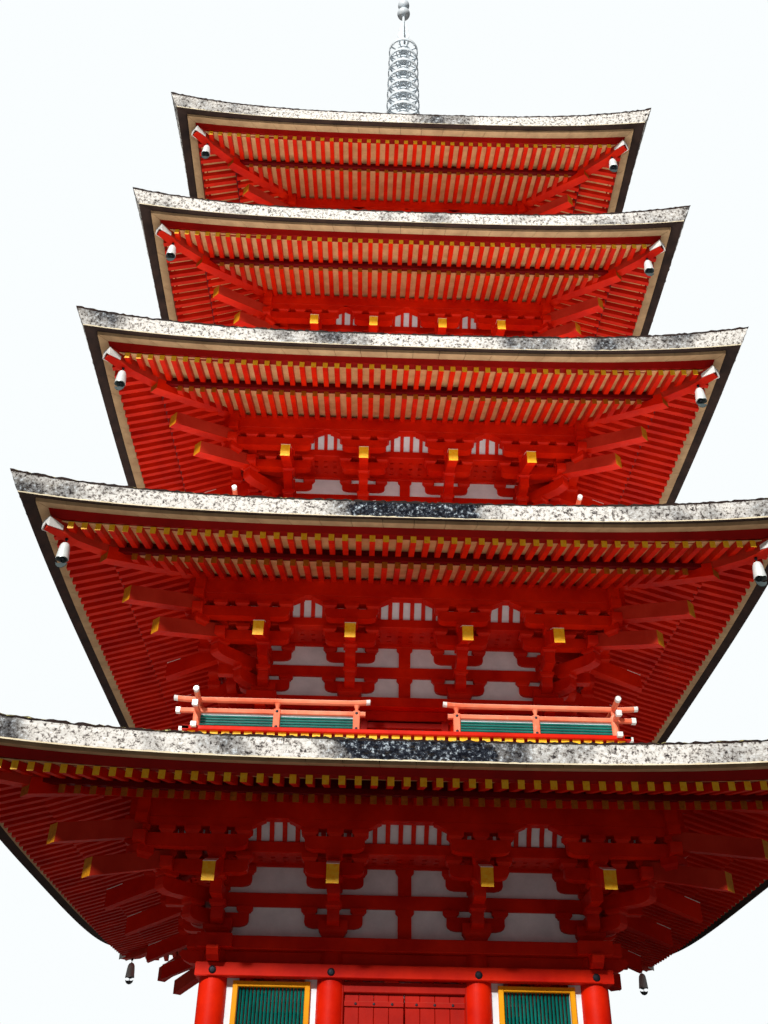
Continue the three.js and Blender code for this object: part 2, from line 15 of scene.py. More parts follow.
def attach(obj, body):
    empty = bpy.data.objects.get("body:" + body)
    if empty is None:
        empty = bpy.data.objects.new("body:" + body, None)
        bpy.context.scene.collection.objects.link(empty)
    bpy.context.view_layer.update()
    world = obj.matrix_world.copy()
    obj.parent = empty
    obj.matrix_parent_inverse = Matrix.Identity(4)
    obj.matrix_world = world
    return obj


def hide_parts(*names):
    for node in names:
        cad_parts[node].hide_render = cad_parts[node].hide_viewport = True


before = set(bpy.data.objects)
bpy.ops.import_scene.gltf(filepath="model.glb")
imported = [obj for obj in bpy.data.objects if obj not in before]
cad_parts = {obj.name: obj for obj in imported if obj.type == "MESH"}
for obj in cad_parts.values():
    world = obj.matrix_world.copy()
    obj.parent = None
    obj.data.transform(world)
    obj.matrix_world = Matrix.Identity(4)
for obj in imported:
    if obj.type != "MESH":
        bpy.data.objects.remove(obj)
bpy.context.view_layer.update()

SHI = 0.18
RNG = np.random.RandomState(5)
ROOT2 = math.sqrt(2)
SIDES = ("front", "right", "back", "left")

# Side and centre bay, rafter spacing and hip tip in metres, drop from the tip to the floor, how far
# the brackets sit below the CAD's, and how far the eave dips at mid side
STOREY_ROWS = [
    (8, 10, 0.184, 5.020, None, 0.38, 0.22),
    (7, 9, 0.184, 8.431, 11.5, 0.28, 0.0),
    (7, 8, 0.18, 11.741, 10.0, 0.15, 0.0),
    (6, 7, 0.179, 15.008, 10.0, 0.1, 0.0),
    (5, 6, 0.1815, 18.191, 9.8, 0.0, 0.0),
]

# Podium and steps
PODIUM_TOP = 0.9 / SHI
PODIUM_HALF = 21.3
PODIUM_CAP = 60 / 180
STEP_COUNT = 5
STEP_TREAD = 300 / 180
STEP_WIDTH = 9.5

# Heights from a storey's seat, which is its hip tip less the sink
HEAD_TIE = (-8.35, -7.5)
CAP_PLATE = (-7.5, -6.62)
ARM_1 = (-5.88, -4.93)
TIE_2 = (-4.47, -3.51)
ARM_3 = (-3.09, -2.22)
BEAM_4 = (-1.62, -0.85)
ARM_5 = (-1.86, -0.96)
BOAT = (-0.44, 0.2)
PURLIN = (0.2, 1.05)
COLUMN_RADIUS = 0.975
STEP = 1.733
ARM_HALF = 0.42
ARM_REACH = 2.05
BOAT_REACH = 3.2
BLOCK_TOP = 0.57
BLOCK_FOOT = 0.4
COVING_PITCH = 0.9
# Undersides of free ends, as distance from the end and share of the height
ROUND_END = [(0.0, 0.42), (0.08, 0.22), (0.28, 0.08), (0.62, 0.0)]
BOAT_END = [(0.0, 0.86), (0.35, 0.62), (0.75, 0.3), (1.15, 0.0)]

# Eaves, as (out from the wall line, height) at mid side and at the corner
CURVE_POWER = 3.2
RAFTER_DEEP = 0.58
RAFTER_WIDE = 0.42
LAST_RAFTER = 13.5
# Both tiers of rafters by the low edge of their foot and end
FLYING = (((10.7, 0.47), (10.7, 0.55)), ((14.9, -0.82), (15.0, -0.32)))
GROUND = (((0.3, 3.05), (0.3, 3.05)), ((11.0, -0.64), (11.2, -0.58)))
# Beams over the rafters' ends, the jointed board and the bark's edge, as sections
KIOI = [((10.75, -0.06), (10.95, 0.0)), ((11.22, -0.06), (11.42, 0.0)),
        ((11.22, 0.28), (11.42, 0.42)), ((10.75, 0.4), (10.95, 0.5))]
FILLET = [((10.86, 0.2), (10.9, 0.3)), ((10.96, 0.2), (11.0, 0.3)),
          ((10.96, 1.0), (11.0, 1.06)), ((10.86, 1.02), (10.9, 1.08))]
KAYAOI = [((14.4, -0.24), (14.5, 0.48)), ((15.02, -0.24), (15.04, 0.48)),
          ((15.3, 0.24), (15.3, 1.17)), ((14.4, 0.3), (14.5, 1.2))]
JOINTED_BOARD = [((15.1, 0.25), (15.1, 1.17)), ((16.08, 0.09), (16.05, 1.19)),
                 ((16.1, 0.37), (16.1, 1.5)), ((15.1, 0.6), (15.1, 1.6))]
BARK_LOW = ((16.9, 0.02), (17.07, 1.27))
BARK_HIGH = ((17.1, 1.38), (17.8, 2.83))
BELL_OUT = 13.93

# Decks and railings, from the wall line and the floor
DECK_OUT = 5.3
DECK_UNDER = -0.34
RAIL_LINE = 4.42
RAIL_TOP = 2.48
RAIL_MIDDLE = 1.56
GATE = 2.8

# Finial: its foot over the top roof's hip tip, and the level that its measured heights start at
FINIAL_FOOT = 17.35
BASIN_TALL = 3.8
BOWL_TALL = 3.2
CALYX_TALL = 1.3
MAST_ZERO = 3.85 / SHI - 17.5
FLAME = (154.9, 162.4)
JEWEL_BALL = 164.6
JEWEL_FOOT = 166.0

# Two of the four copies of a solid sit this much lower, so that no faces coincide at corners
CORNER_LAP = 0.015

# Light of the sky and the sun, and what each bark roof throws up under the eaves over it
AMBIENT = 0.07
SUN = 4.2
ROOF_GLOW = (210, 430, 410, 330)


# Materials

def linear(red, green, blue):
    """A screen colour of 0 to 255 as the linear one that shaders use."""
    return tuple(c / 12.92 if c <= 0.04045 else ((c + 0.055) / 1.055) ** 2.4
                 for c in (red / 255, green / 255, blue / 255)) + (1.0,)


def is_number(value):
    return isinstance(value, (int, float))


class Nodes:
    """A node tree with short calls for the nodes that the materials here share."""

    def __init__(self, name, roughness, metallic=0.0, specular=0.5):
        self.material = bpy.data.materials.new(name)
        self.material.use_nodes = True
        self.tree = self.material.node_tree
        self.shader = self.tree.nodes["Principled BSDF"]
        self.shader.inputs["Roughness"].default_value = roughness
        self.shader.inputs["Metallic"].default_value = metallic
        self.shader.inputs["Specular IOR Level"].default_value = specular
        self.place = self.tree.nodes.new("ShaderNodeTexCoord").outputs["Object"]

    def new(self, kind, **settings):
        node = self.tree.nodes.new("ShaderNode" + kind)
        for key, value in settings.items():
            setattr(node, key, value)
        return node

    def feed(self, node, **values):
        """Sets a node's inputs, whose names have a blank where the keyword has an underscore."""
        for key, value in values.items():
            node.inputs[key.replace("_", " ")].default_value = value

    def link(self, start, end):
        self.tree.links.new(start, end)

    def stretched(self, x, y, z):
        mapping = self.new("Mapping")
        self.feed(mapping, Scale=(x, y, z))
        self.link(self.place, mapping.inputs["Vector"])
        return mapping.outputs["Vector"]

    def noise(self, scale, detail=4.0, rough=0.55, place=None, distortion=0.0):
        node = self.new("TexNoise")
        self.feed(node, Scale=scale, Detail=detail, Roughness=rough, Distortion=distortion)
        self.link(place or self.place, node.inputs["Vector"])
        return node.outputs["Fac"]

    def ramp(self, value, stops):
        """Stops of (position, grey from 0 to 1) or (position, screen colour)."""
        node = self.new("ValToRGB")
        elements = node.color_ramp.elements
        while len(elements) < len(stops):
            elements.new(0.5)
        for element, (position, colour) in zip(elements, stops):
            element.position = position
            element.color = (colour,) * 3 + (1,) if is_number(colour) else linear(*colour)
        self.link(value, node.inputs["Fac"])
        return node.outputs["Color"]

    def mix(self, factor, first, second):
        node = self.new("Mix", data_type="RGBA")
        for value, socket in ((factor, 0), (first, 6), (second, 7)):
            if is_number(value):
                node.inputs[socket].default_value = value
            elif isinstance(value, tuple):
                node.inputs[socket].default_value = linear(*value)
            else:
                self.link(value, node.inputs[socket])
        return node.outputs[2]

    def maths(self, operation, first, second=0.0):
        node = self.new("Math", operation=operation)
        for value, socket in ((first, 0), (second, 1)):
            if is_number(value):
                node.inputs[socket].default_value = value
            else:
                self.link(value, node.inputs[socket])
        return node.outputs[0]

    def spread(self, value, low, high):
        """0 to 1 as the value goes from low to high."""
        node = self.new("MapRange")
        self.feed(node, From_Min=low, From_Max=high)
        self.link(value, node.inputs["Value"])
        return node.outputs["Result"]

    def facing_up(self, low, high):
        """0 to 1 as a face turns from level low to high of its normal's Z."""
        split = self.new("SeparateXYZ")
        self.link(self.new("NewGeometry").outputs["Normal"], split.inputs[0])
        return self.spread(split.outputs["Z"], low, high)

    def mid_side(self, near, far):
        """1 at the middle of each side of the tower, falling to 0 between two ragged distances."""
        split = self.new("SeparateXYZ")
        self.link(self.place, split.inputs[0])
        across = self.maths("MINIMUM", *[self.maths("ABSOLUTE", split.outputs[axis]) for axis in "XY"])
        ragged = self.maths("ADD", across, self.noise(2.5, 5.0, 0.7))
        return self.spread(ragged, far + 0.5, near + 0.5)

    def colour(self, output):
        self.link(output, self.shader.inputs["Base Color"])

    def roughness(self, output):
        self.link(output, self.shader.inputs["Roughness"])

    def bump(self, height, strength, distance):
        node = self.new("Bump")
        self.feed(node, Strength=strength, Distance=distance)
        self.link(height, node.inputs["Height"])
        self.link(node.outputs["Normal"], self.shader.inputs["Normal"])


def painted_timber(name, deep, bright, dust_and_sun_tone, dust_and_sun_share):
    """Opaque paint on planed timber: cloudy fading, fine brush grain, and dust on upper faces, which in the
    railing's pale paint is painted sunlight on its tops.
    """
    nodes = Nodes(name, 0.5, specular=0.1)
    clouds = nodes.noise(1.7, 5.0, 0.6)
    streaks = nodes.noise(16.0, 4.0, 0.65, nodes.stretched(1.0, 1.0, 0.35))
    base = nodes.ramp(clouds, [(0.3, deep), (0.72, bright)])
    streaked = nodes.mix(nodes.ramp(streaks, [(0.62, 0.0), (0.8, dust_and_sun_share * 0.45)]), base, dust_and_sun_tone)
    top = nodes.maths("MULTIPLY", nodes.facing_up(0.35, 0.95), dust_and_sun_share)
    nodes.colour(nodes.mix(top, streaked, dust_and_sun_tone))
    nodes.roughness(nodes.ramp(streaks, [(0.25, 0.34), (0.8, 0.62)]))
    nodes.bump(nodes.noise(60.0, 3.0, 0.6, nodes.stretched(1.0, 1.0, 0.5)), 0.25, 0.004)
    return nodes.material


def end_paint(name, dark, middle, light):
    nodes = Nodes(name, 0.5, specular=0.25)
    spots = nodes.noise(24.0, 5.0, 0.7)
    nodes.colour(nodes.ramp(spots, [(0.26, dark), (0.4, middle), (0.75, light)]))
    nodes.bump(spots, 0.3, 0.004)
    return nodes.material


def plaster():
    nodes = Nodes("lime_plaster", 0.85, specular=0.2)
    clouds = nodes.noise(3.0, 6.0, 0.65)
    # The bluish tint of the white lime is painted sky light.
    nodes.colour(nodes.ramp(clouds, [(0.3, (212, 220, 228)), (0.7, (238, 245, 252))]))
    nodes.bump(nodes.noise(45.0, 5.0, 0.7), 0.15, 0.003)
    return nodes.material


def bare_board(name, dark, light):
    nodes = Nodes(name, 0.75, specular=0.25)
    clouds = nodes.noise(4.0, 5.0, 0.6)
    grain = nodes.noise(30.0, 6.0, 0.6, nodes.stretched(1.0, 1.0, 4.0), 0.6)
    base = nodes.ramp(clouds, [(0.3, dark), (0.7, light)])
    nodes.colour(nodes.mix(nodes.ramp(grain, [(0.35, 0.0), (0.8, 0.35)]), base, dark))
    nodes.bump(grain, 0.25, 0.003)
    return nodes.material


def crest_moss():
    nodes = Nodes("crest_moss", 0.95, specular=0.1)
    flecks = nodes.noise(30.0, 6.0, 0.75)
    nodes.colour(nodes.ramp(flecks, [(0.44, (30, 30, 22)), (0.6, (236, 228, 160))]))
    nodes.bump(flecks, 0.8, 0.02)
    return nodes.material


def bark_edge(name, shaded_middle):
    """The cut edge of the bark: grey and black flecks, pale lichen, strata and warm patches, mixed between
    a near-white copy that is partly painted sunlight and a dark bluish copy that is painted shade, by large
    patches of painted shadow and, when asked, a painted shadow across the middle of each side.
    """
    nodes = Nodes(name, 0.95, specular=0.15)
    flecks = nodes.noise(22.0, 8.0, 0.75)
    patches = nodes.noise(0.55, 4.0, 0.6)
    strata = nodes.noise(9.0, 6.0, 0.7, nodes.stretched(1.0, 1.0, 9.0), 0.3)
    # The flecked bark as it looks in sun, its near-white partly pale lichen and partly painted sunlight,
    # then the same bark in painted shade, dark and bluish
    base = nodes.ramp(flecks, [(0.37, (20, 20, 28)), (0.43, (130, 122, 118)), (0.48, (240, 236, 230)),
                               (0.6, (255, 254, 251))])
    dark = nodes.ramp(flecks, [(0.44, (12, 14, 24)), (0.55, (56, 62, 74)), (0.64, (214, 228, 240))])
    # Large patches of painted shadow that pick the dark bluish copy
    shade_patches = nodes.ramp(patches, [(0.5, 0.0), (0.64, 0.9)])
    # A painted shadow across the middle of each side of the tower
    if shaded_middle:
        shade_patches = nodes.maths("MAXIMUM", shade_patches, nodes.mid_side(0.75, 1.15))
    mixed = nodes.mix(shade_patches, base, dark)
    nodes.colour(nodes.mix(nodes.ramp(strata, [(0.56, 0.0), (0.78, 0.4)]), mixed, (150, 128, 84)))
    nodes.bump(nodes.mix(0.5, flecks, strata), 0.8, 0.02)
    return nodes.material


def bark_top():
    nodes = Nodes("bark_roof", 0.97, specular=0.1)
    clouds = nodes.noise(1.1, 6.0, 0.65)
    fibres = nodes.noise(14.0, 8.0, 0.75)
    base = nodes.ramp(fibres, [(0.3, (44, 38, 32)), (0.52, (98, 86, 74)), (0.74, (150, 140, 126))])
    moss = nodes.maths("MULTIPLY", nodes.ramp(clouds, [(0.5, 0.0), (0.68, 0.8)]), fibres)
    nodes.colour(nodes.mix(moss, base, (86, 96, 42)))
    nodes.bump(fibres, 0.9, 0.03)
    return nodes.material


def metal(name, dark, light, metallic, low, high):
    nodes = Nodes(name, 0.5, metallic)
    clouds = nodes.noise(7.0, 6.0, 0.65)
    fine = nodes.noise(40.0, 5.0, 0.7)
    nodes.colour(nodes.ramp(nodes.mix(0.35, clouds, fine), [(0.32, dark), (0.68, light)]))
    nodes.roughness(nodes.ramp(fine, [(0.3, low), (0.75, high)]))
    nodes.bump(fine, 0.2, 0.003)
    return nodes.material


def granite():
    nodes = Nodes("granite", 0.85, specular=0.3)
    grains = nodes.noise(90.0, 4.0, 0.8)
    clouds = nodes.noise(1.2, 5.0, 0.6)
    base = nodes.ramp(grains, [(0.32, (84, 82, 80)), (0.5, (156, 152, 146)), (0.7, (204, 200, 192))])
    nodes.colour(nodes.mix(nodes.ramp(clouds, [(0.45, 0.0), (0.75, 0.5)]), base, (112, 108, 88)))
    nodes.bump(grains, 0.5, 0.006)
    return nodes.material


VERMILION = painted_timber("vermilion", (182, 14, 2), (228, 38, 5), (204, 84, 60), 0.3)
# The railing's pale pink paint and near-white upper faces are painted sunlight on vermilion.
RAIL_RED = painted_timber("painted_sunlight_vermilion", (226, 92, 58), (250, 156, 122), (255, 220, 200), 0.7)
# A darker, pinker vermilion for the diagonal tails' and upper hips' sides: painted sky light on faces in
# shade.
SKY_LIT_RED = painted_timber("sky_lit_vermilion", (168, 36, 22), (196, 56, 38), (204, 112, 92), 0.5)
DEEP_RED = painted_timber("shaded_vermilion", (130, 8, 5), (158, 14, 8), (110, 34, 30), 0.25)
# Near-black red for the beam over the ground rafters' ends and its fillet: painted shade.
DARK_RED = painted_timber("recess_shade_vermilion", (88, 4, 8), (118, 8, 12), (80, 24, 24), 0.2)
DOOR_RED = painted_timber("door_vermilion", (146, 16, 8), (180, 28, 12), (176, 100, 84), 0.4)
GREEN = painted_timber("blue_green", (2, 84, 78), (14, 124, 112), (120, 168, 158), 0.4)
OCHRE_FRAME = painted_timber("ochre_timber", (220, 140, 8), (246, 176, 18), (222, 180, 120), 0.3)
OCHRE = end_paint("ochre_end_paint", (226, 116, 4), (255, 180, 12), (255, 210, 60))
# A darker ochre for the diagonal tails' ends: painted shade.
HALF_SHADED_OCHRE = end_paint("half_shaded_ochre_paint", (128, 66, 4), (190, 118, 8), (216, 148, 20))
DULL_OCHRE = end_paint("shaded_ochre_paint", (100, 48, 4), (150, 82, 8), (184, 108, 14))
PLASTER = plaster()
TAN_BOARD = bare_board("soffit_board", (208, 160, 106), (244, 206, 150))
EAVE_BOARD = bare_board("eave_board", (170, 138, 104), (206, 174, 134))
# Cream strip at the foot of the bark's edge: a layer of the bark, its paleness partly painted sunlight on
# the lower lip.
CREAM_LIT_LIP = bare_board("cream_and_sunlit_bark_lip", (222, 206, 172), (250, 238, 208))
# Near-black for the bark's underside and a line under its crest: painted shade over dark bark.
DARK_BARK_SHADE = bare_board("bark_underside_shade", (34, 24, 24), (66, 48, 42))
MOSS = crest_moss()
# Dark grey inside the bells' mouths is painted shade; the wind plates take the same grey.
DARK_BELL_GREY = bare_board("bell_mouth_shade_and_plates", (46, 58, 60), (84, 96, 98))
BARK_EDGE = bark_edge("bark_edge", False)
# The lower roofs' bark edge carries a painted shadow across the middle of each side.
MID_SHADED_BARK_EDGE = bark_edge("mid_shaded_bark_edge", True)
BARK_TOP = bark_top()
CAP_METAL = metal("pale_cap_metal", (206, 208, 208), (246, 246, 244), 0.1, 0.35, 0.55)
# Near-white bell bronze: painted glare of sunlit metal.
BELL_METAL = metal("bell_bronze", (206, 216, 216), (244, 248, 248), 0.15, 0.4, 0.6)
# Near-white, bluish bronze for the finial: painted glare and sky light on the metal.
BRONZE = metal("weathered_bronze", (214, 232, 246), (252, 254, 255), 0.0, 0.35, 0.6)
IRON = metal("black_iron", (24, 26, 32), (52, 56, 66), 0.8, 0.4, 0.6)
GRANITE = granite()


# Solids, each as (points, faces)

def lerp(first, last, part):
    return first + (last - first) * part


def front(along, out, height):
    return (along, -out, height)


def slanting(out, shift, height):
    """A point out on the front-left diagonal, shifted square to it."""
    return (shift / ROOT2 - out, -shift / ROOT2 - out, height)


def spun(x, y, angle):
    return x * math.cos(angle) - y * math.sin(angle), x * math.sin(angle) + y * math.cos(angle)


def turns(count):
    return [2 * math.pi * index / count for index in range(count)]


def quarter_turn(points, quarters):
    cos, sin = [(1, 0), (0, 1), (-1, 0), (0, -1)][quarters]
    turned = points.copy()
    turned[:, 0] = cos * points[:, 0] - sin * points[:, 1]
    turned[:, 1] = sin * points[:, 0] + cos * points[:, 1]
    return turned


def mirrored(near, far):
    """The span from near to far on either side of the middle."""
    return [sorted((side * near, side * far)) for side in (-1, 1)]


def eased(low, high, edge):
    """A rectangle's corners, each cut at 45 degrees by edge."""
    (x0, x1), (y0, y1) = low, high
    return [(x0 + edge, y0), (x1 - edge, y0), (x1, y0 + edge), (x1, y1 - edge),
            (x1 - edge, y1), (x0 + edge, y1), (x0, y1 - edge), (x0, y0 + edge)]


def skin(rows, size, ring=False):
    """The faces between rows of as many points, the last row joined to the first in a ring."""
    faces = []
    for row in range(rows if ring else rows - 1):
        low, high = row * size, (row + 1) % rows * size
        for index in range(size):
            following = (index + 1) % size
            quad = (low + index, low + following, high + following, high + index)
            faces.append(quad[:1] + quad[:0:-1] if ring else quad)
    return faces


def stack(rows):
    """A solid through rows of as many points, closed at both ends. Its side faces come first."""
    size = len(rows[0])
    last = size * (len(rows) - 1)
    ends = [tuple(range(size))[::-1], tuple(range(last, last + size))]
    return [point for row in rows for point in row], skin(len(rows), size) + ends


def lengthwise(outline, alongs):
    """An outline of (out, height) drawn along the side."""
    return stack([[front(a, o, h) for o, h in outline] for a in alongs])


def standing(outline, heights):
    """An outline of (along, out) drawn upward."""
    return stack([[front(a, o, h) for a, o in outline] for h in heights])


def arm(outline, outs):
    """An outline of (along, height) lying parallel to the wall between two depths."""
    return stack([[front(a, o, h) for a, h in outline] for o in outs])


def plate(outline, along, width):
    """An outline of (out, height) standing square to the wall."""
    return lengthwise(outline, (along - width / 2, along + width / 2))


def diagonal(outline, width):
    """An outline of (out, height) on the front-left diagonal, out counted on both axes."""
    return stack([[slanting(o, shift, h) for o, h in outline] for shift in (width / 2, -width / 2)])


def box(along, out, height):
    (a0, a1), (o0, o1) = along, out
    return standing([(a0, o1), (a1, o1), (a1, o0), (a0, o0)], height)


def beam(along, out, height, edge=0.05):
    """A bar along the side with eased long edges."""
    return lengthwise(eased(out, height, edge), along)


def upright(along, out, height, edge=0.05):
    return standing(eased(along, out, edge), height)


def lathe(profile, count, centre=(0, 0)):
    """A profile of (radius, height) turned round an upright line, closed at both ends."""
    x, y = centre
    return stack([[(x + r * math.cos(turn), y + r * math.sin(turn), h) for turn in turns(count)]
                  for r, h in profile])


def torus_of(profile, count):
    """A closed section of (radius, height) turned round the axis."""
    points = [(r * math.cos(turn), r * math.sin(turn), h) for turn in turns(count) for r, h in profile]
    return points, skin(count, len(profile), True)


def stud(along, out, height, radius):
    """A domed nail cover on an upright face."""
    sides = 10
    points = [front(along + radius * share * math.cos(turn), out + radius * proud,
                    height + radius * share * math.sin(turn))
              for share, proud in ((1.0, 0.0), (0.95, 0.225), (0.6, 0.405)) for turn in turns(sides)]
    points.append(front(along, out + radius * 0.45, height))
    low, top = 2 * sides, 3 * sides
    dome = [(low + index, low + (index + 1) % sides, top) for index in range(sides)]
    return points, skin(3, sides) + dome + [tuple(range(sides))[::-1]]


def eave_point(storey, point, station):
    """A section point at a place from -1 to 1 along the front eave."""
    mid, corner = point
    ease = abs(station) ** CURVE_POWER
    return front(station * (storey.half + corner[0]), lerp(mid[0], corner[0], ease),
                 lerp(mid[1] - storey.dip, corner[1], ease))


def stations_of(count):
    return [2 * index / count - 1 for index in range(count)]


class Storey:
    """One storey's plan and heights in modules. Its foot is the floor's height from the seat."""

    def __init__(self, number, side, centre, spacing, tip, drop, sink, dip):
        self.number, self.centre, self.spacing, self.dip = number, centre, spacing, dip
        self.inner = centre / 2
        self.half = self.inner + side
        self.places = (-self.half, -self.inner, self.inner, self.half)
        self.plan = spacing / SHI
        self.tip = tip / SHI
        self.seat = self.tip - sink
        self.floor = PODIUM_TOP if drop is None else self.tip - drop
        self.foot = self.floor - self.seat
        self.body = ["storey1_frame"] if number == 1 else ["storey{}_body"]


class Part:
    """Points and faces gathered for one piece, whose solids are placed from the wall line and a level."""

    def __init__(self, storey=None, level=0.0):
        self.storey, self.level = storey, level
        self.half = storey.half if storey else 0.0
        self.points, self.faces, self.slots, self.count = [], [], [], 0

    def add(self, solid, slot=0, marks=None, quarters=0, place=(0.0, 0.0)):
        """One solid, shifted by place and turned round the tower. Marks give single faces another slot."""
        points, faces = solid
        points = quarter_turn(np.array(points, float) + (*place, self.level), quarters)
        points[:, 2] -= CORNER_LAP * (quarters % 2)
        self.points.append(points)
        self.faces += [tuple(index + self.count for index in face) for face in faces]
        slots = list(slot) if isinstance(slot, list) else [slot] * len(faces)
        for face, other in (marks or {}).items():
            slots[face] = other
        self.slots += slots
        self.count += len(points)

    def around(self, solid, slot=0, marks=None, shift=0.0):
        """The same solid on all four sides, out from the wall line."""
        for quarters in range(4):
            self.add(solid, slot, marks, quarters, (-shift, -self.half))

    def corners(self, solid, slot=0, marks=None):
        """The same solid at all four corners of the wall line."""
        self.around(solid, slot, marks, self.half)

    def ring(self, section, stations, slot=0, wobble=None):
        """A closed ring round the tower whose section rises towards the corners."""
        sides = []
        for quarters in range(4):
            side = np.array([[eave_point(self.storey, point, station) for point in section]
                             for station in stations])
            if wobble:
                wobble(side)
            sides.append(quarter_turn(side.reshape(-1, 3) - (0, self.half, 0), quarters))
        rows = 4 * len(stations)
        slots = slot * rows if isinstance(slot, list) else slot
        self.add((np.concatenate(sides), skin(rows, len(section), True)), slots)

    def piece(self, name, materials, nodes, slot="vermilion_timber", smooth=None):
        """The finished mesh. Its name and nodes take the storey's number."""
        number = self.storey.number if self.storey else 0
        mesh = bpy.data.meshes.new(name.format(number))
        points = np.concatenate(self.points) * SHI
        points[:, :2] *= self.storey.plan if self.storey else 1.0
        mesh.from_pydata(points.tolist(), [], self.faces)
        mesh.polygons.foreach_set("material_index", self.slots)
        obj = bpy.data.objects.new(name.format(number), mesh)
        bpy.context.scene.collection.objects.link(obj)
        for material in materials:
            mesh.materials.append(material)
        if smooth:
            mesh.polygons.foreach_set("use_smooth", [True] * len(mesh.polygons))
            mesh.set_sharp_from_angle(angle=math.radians(smooth))
        mesh.update()
        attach(obj, "root")
        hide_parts(*[node.format(number) for node in nodes])


STOREYS = [Storey(number, *row) for number, row in enumerate(STOREY_ROWS, 1)]


# Timber of the storeys

def columns(storey):
    part = Part(storey, storey.seat)
    radius, foot, top = COLUMN_RADIUS, storey.foot, CAP_PLATE[0]
    profile = [(radius * 0.96, foot), (radius, foot + 0.3), (radius, top - 2.6), (radius * 0.97, top - 1.0),
               (radius * 0.86, top)]
    for along in storey.places[:3]:
        part.around(lathe(profile, 28, (along, 0)))
    part.piece("storey{}_columns", [VERMILION], storey.body, smooth=40)


def wall_beams(storey):
    """Head tie, cap plate, the ties of the bracket zone and the rails of the wall below."""
    part = Part(storey, storey.seat)
    half, foot = storey.half, storey.foot
    bars = [(half + 1.9, (-1.2, 1.2), CAP_PLATE), (half + 3.9, (-0.4, 0.4), TIE_2),
            (half + 0.4, (-0.4, 0.4), BEAM_4), (half, (-0.4, 0.45), HEAD_TIE)]
    if storey.number == 1:
        rail = (0.3, 1.18)
        bars += [(half + 1.16, rail, (foot, foot + 0.85)), (half + 1.16, rail, (-9.25, -8.38))]
        for span in mirrored(storey.inner, half + 1.15):
            part.around(beam(span, rail, (-18.3, -17.45)))
    else:
        bars += [(half + 1.1, (0.25, 1.12), (foot, foot + 0.5)), (half, (-0.3, 0.5), (-8.6, HEAD_TIE[0]))]
    for end, out, height in bars:
        part.around(beam((-end, end), out, height))
    low, high = HEAD_TIE
    nose = [(0.8, high), (2.3, high), (2.5, high - 0.25), (2.2, low + 0.25), (1.7, low), (0.8, low)]
    for along in (-half, half):
        part.around(plate(nose, along, 0.8))
    part.piece("storey{}_wall_beams", [VERMILION], storey.body)


def wall_panels(storey):
    """White plaster: the bracket zone, and below the head tie beside the windows."""
    part = Part(storey, storey.seat)
    half, foot = storey.half, storey.foot
    near, far = storey.inner + 1.75, half - 1.75
    lintel = -8.45 if storey.number == 1 else -8.5
    panels = [(storey.inner + 0.3, near, foot + 0.4, lintel), (far, half - 0.3, foot + 0.4, lintel)]
    nodes = storey.body
    if storey.number == 1:
        panels.append((near, far, foot + 0.7, -17.6))
        nodes = nodes + [f"storey1_wall_{side}" for side in SIDES]
    part.around(box((-half, half), (-0.12, 0.12), (CAP_PLATE[1] - 0.05, 0.6)))
    for start, end, low, high in panels:
        for span in mirrored(start, end):
            part.around(box(span, (-0.16, 0.16), (low, high)))
    part.piece("storey{}_plaster", [PLASTER], nodes, "white_plaster")


def windows(storey):
    """Barred windows: an ochre frame and upright blue-green bars set on edge."""
    part = Part(storey, storey.seat)
    if storey.number == 1:
        low, high, inset, spacing, bar = -17.5, -9.4, 1.38, 0.25, 0.085
    else:
        low, high, inset, spacing, bar = storey.foot + 0.5, -8.6, 1.6, 0.42, 0.13
    near, far, rim = storey.inner + inset, storey.half - inset, 0.36
    for start, end in ((near, near + rim), (far - rim, far)):
        for span in mirrored(start, end):
            part.around(upright(span, (-0.2, 0.42), (low, high), 0.04))
    for height in ((low, low + rim), (high - rim, high)):
        for span in mirrored(near + rim, far - rim):
            part.around(beam(span, (-0.2, 0.4), height, 0.04))
    clear = far - near - 2 * rim
    count = int(clear / spacing)
    for index in range(count):
        for side in (-1, 1):
            middle = side * (near + rim + (index + 0.5) * clear / count)
            outline = [(middle - bar, 0), (middle, -bar), (middle + bar, 0), (middle, bar)]
            part.around(standing(outline, (low + rim * 0.8, high - rim * 0.8)), 1)
    part.piece("storey{}_windows", [OCHRE_FRAME, GREEN], storey.body, "green_lattice")


def doors(storey):
    """A pair of plank leaves with battens and black fittings in a heavy frame."""
    part = Part(storey, storey.seat)
    if storey.number == 1:
        low, head, width, line = storey.foot + 0.85, -9.34, storey.inner - 0.9, 0.3
        nodes = [f"storey1_door_{side}" for side in SIDES]
    else:
        low, head, width, line = storey.foot + 0.5, HEAD_TIE[0], 2.95, 0.28
        nodes = storey.body
        for span in mirrored(width + 0.5, storey.inner - 0.5):
            part.around(box(span, (-0.1, 0.16), (low, head)), 2)
    for span in mirrored(width, width + 0.6):
        part.around(upright(span, (-0.35, 0.55), (low, head), 0.06))
    leaf_low, leaf_high = low + 0.45, head - 0.7
    for height in ((leaf_high, head), (low, leaf_low)):
        part.around(beam((-width - 0.6, width + 0.6), (-0.3, 0.5), height, 0.06))
    planks = max(3, round(width / 0.95))
    for index in range(planks):
        for span in mirrored(*[0.04 + (width - 0.06) * (index + gap) / planks for gap in (0.01, 0.99)]):
            part.around(upright(span, (line - 0.32, line - 0.06), (leaf_low, leaf_high), 0.03))
    for share in (0.06, 0.36, 0.64, 0.94):
        height = lerp(leaf_low, leaf_high, share)
        for span in mirrored(0.06, width - 0.04):
            part.around(beam(span, (line - 0.1, line + 0.06), (height - 0.17, height + 0.17), 0.03))
        for place in (-0.8, -0.5, -0.2, 0.2, 0.5, 0.8):
            part.around(stud(width * place, line + 0.05, height, 0.1), 1)
    part.piece("storey{}_doors", [DOOR_RED, IRON, PLASTER], nodes, "door_timber")


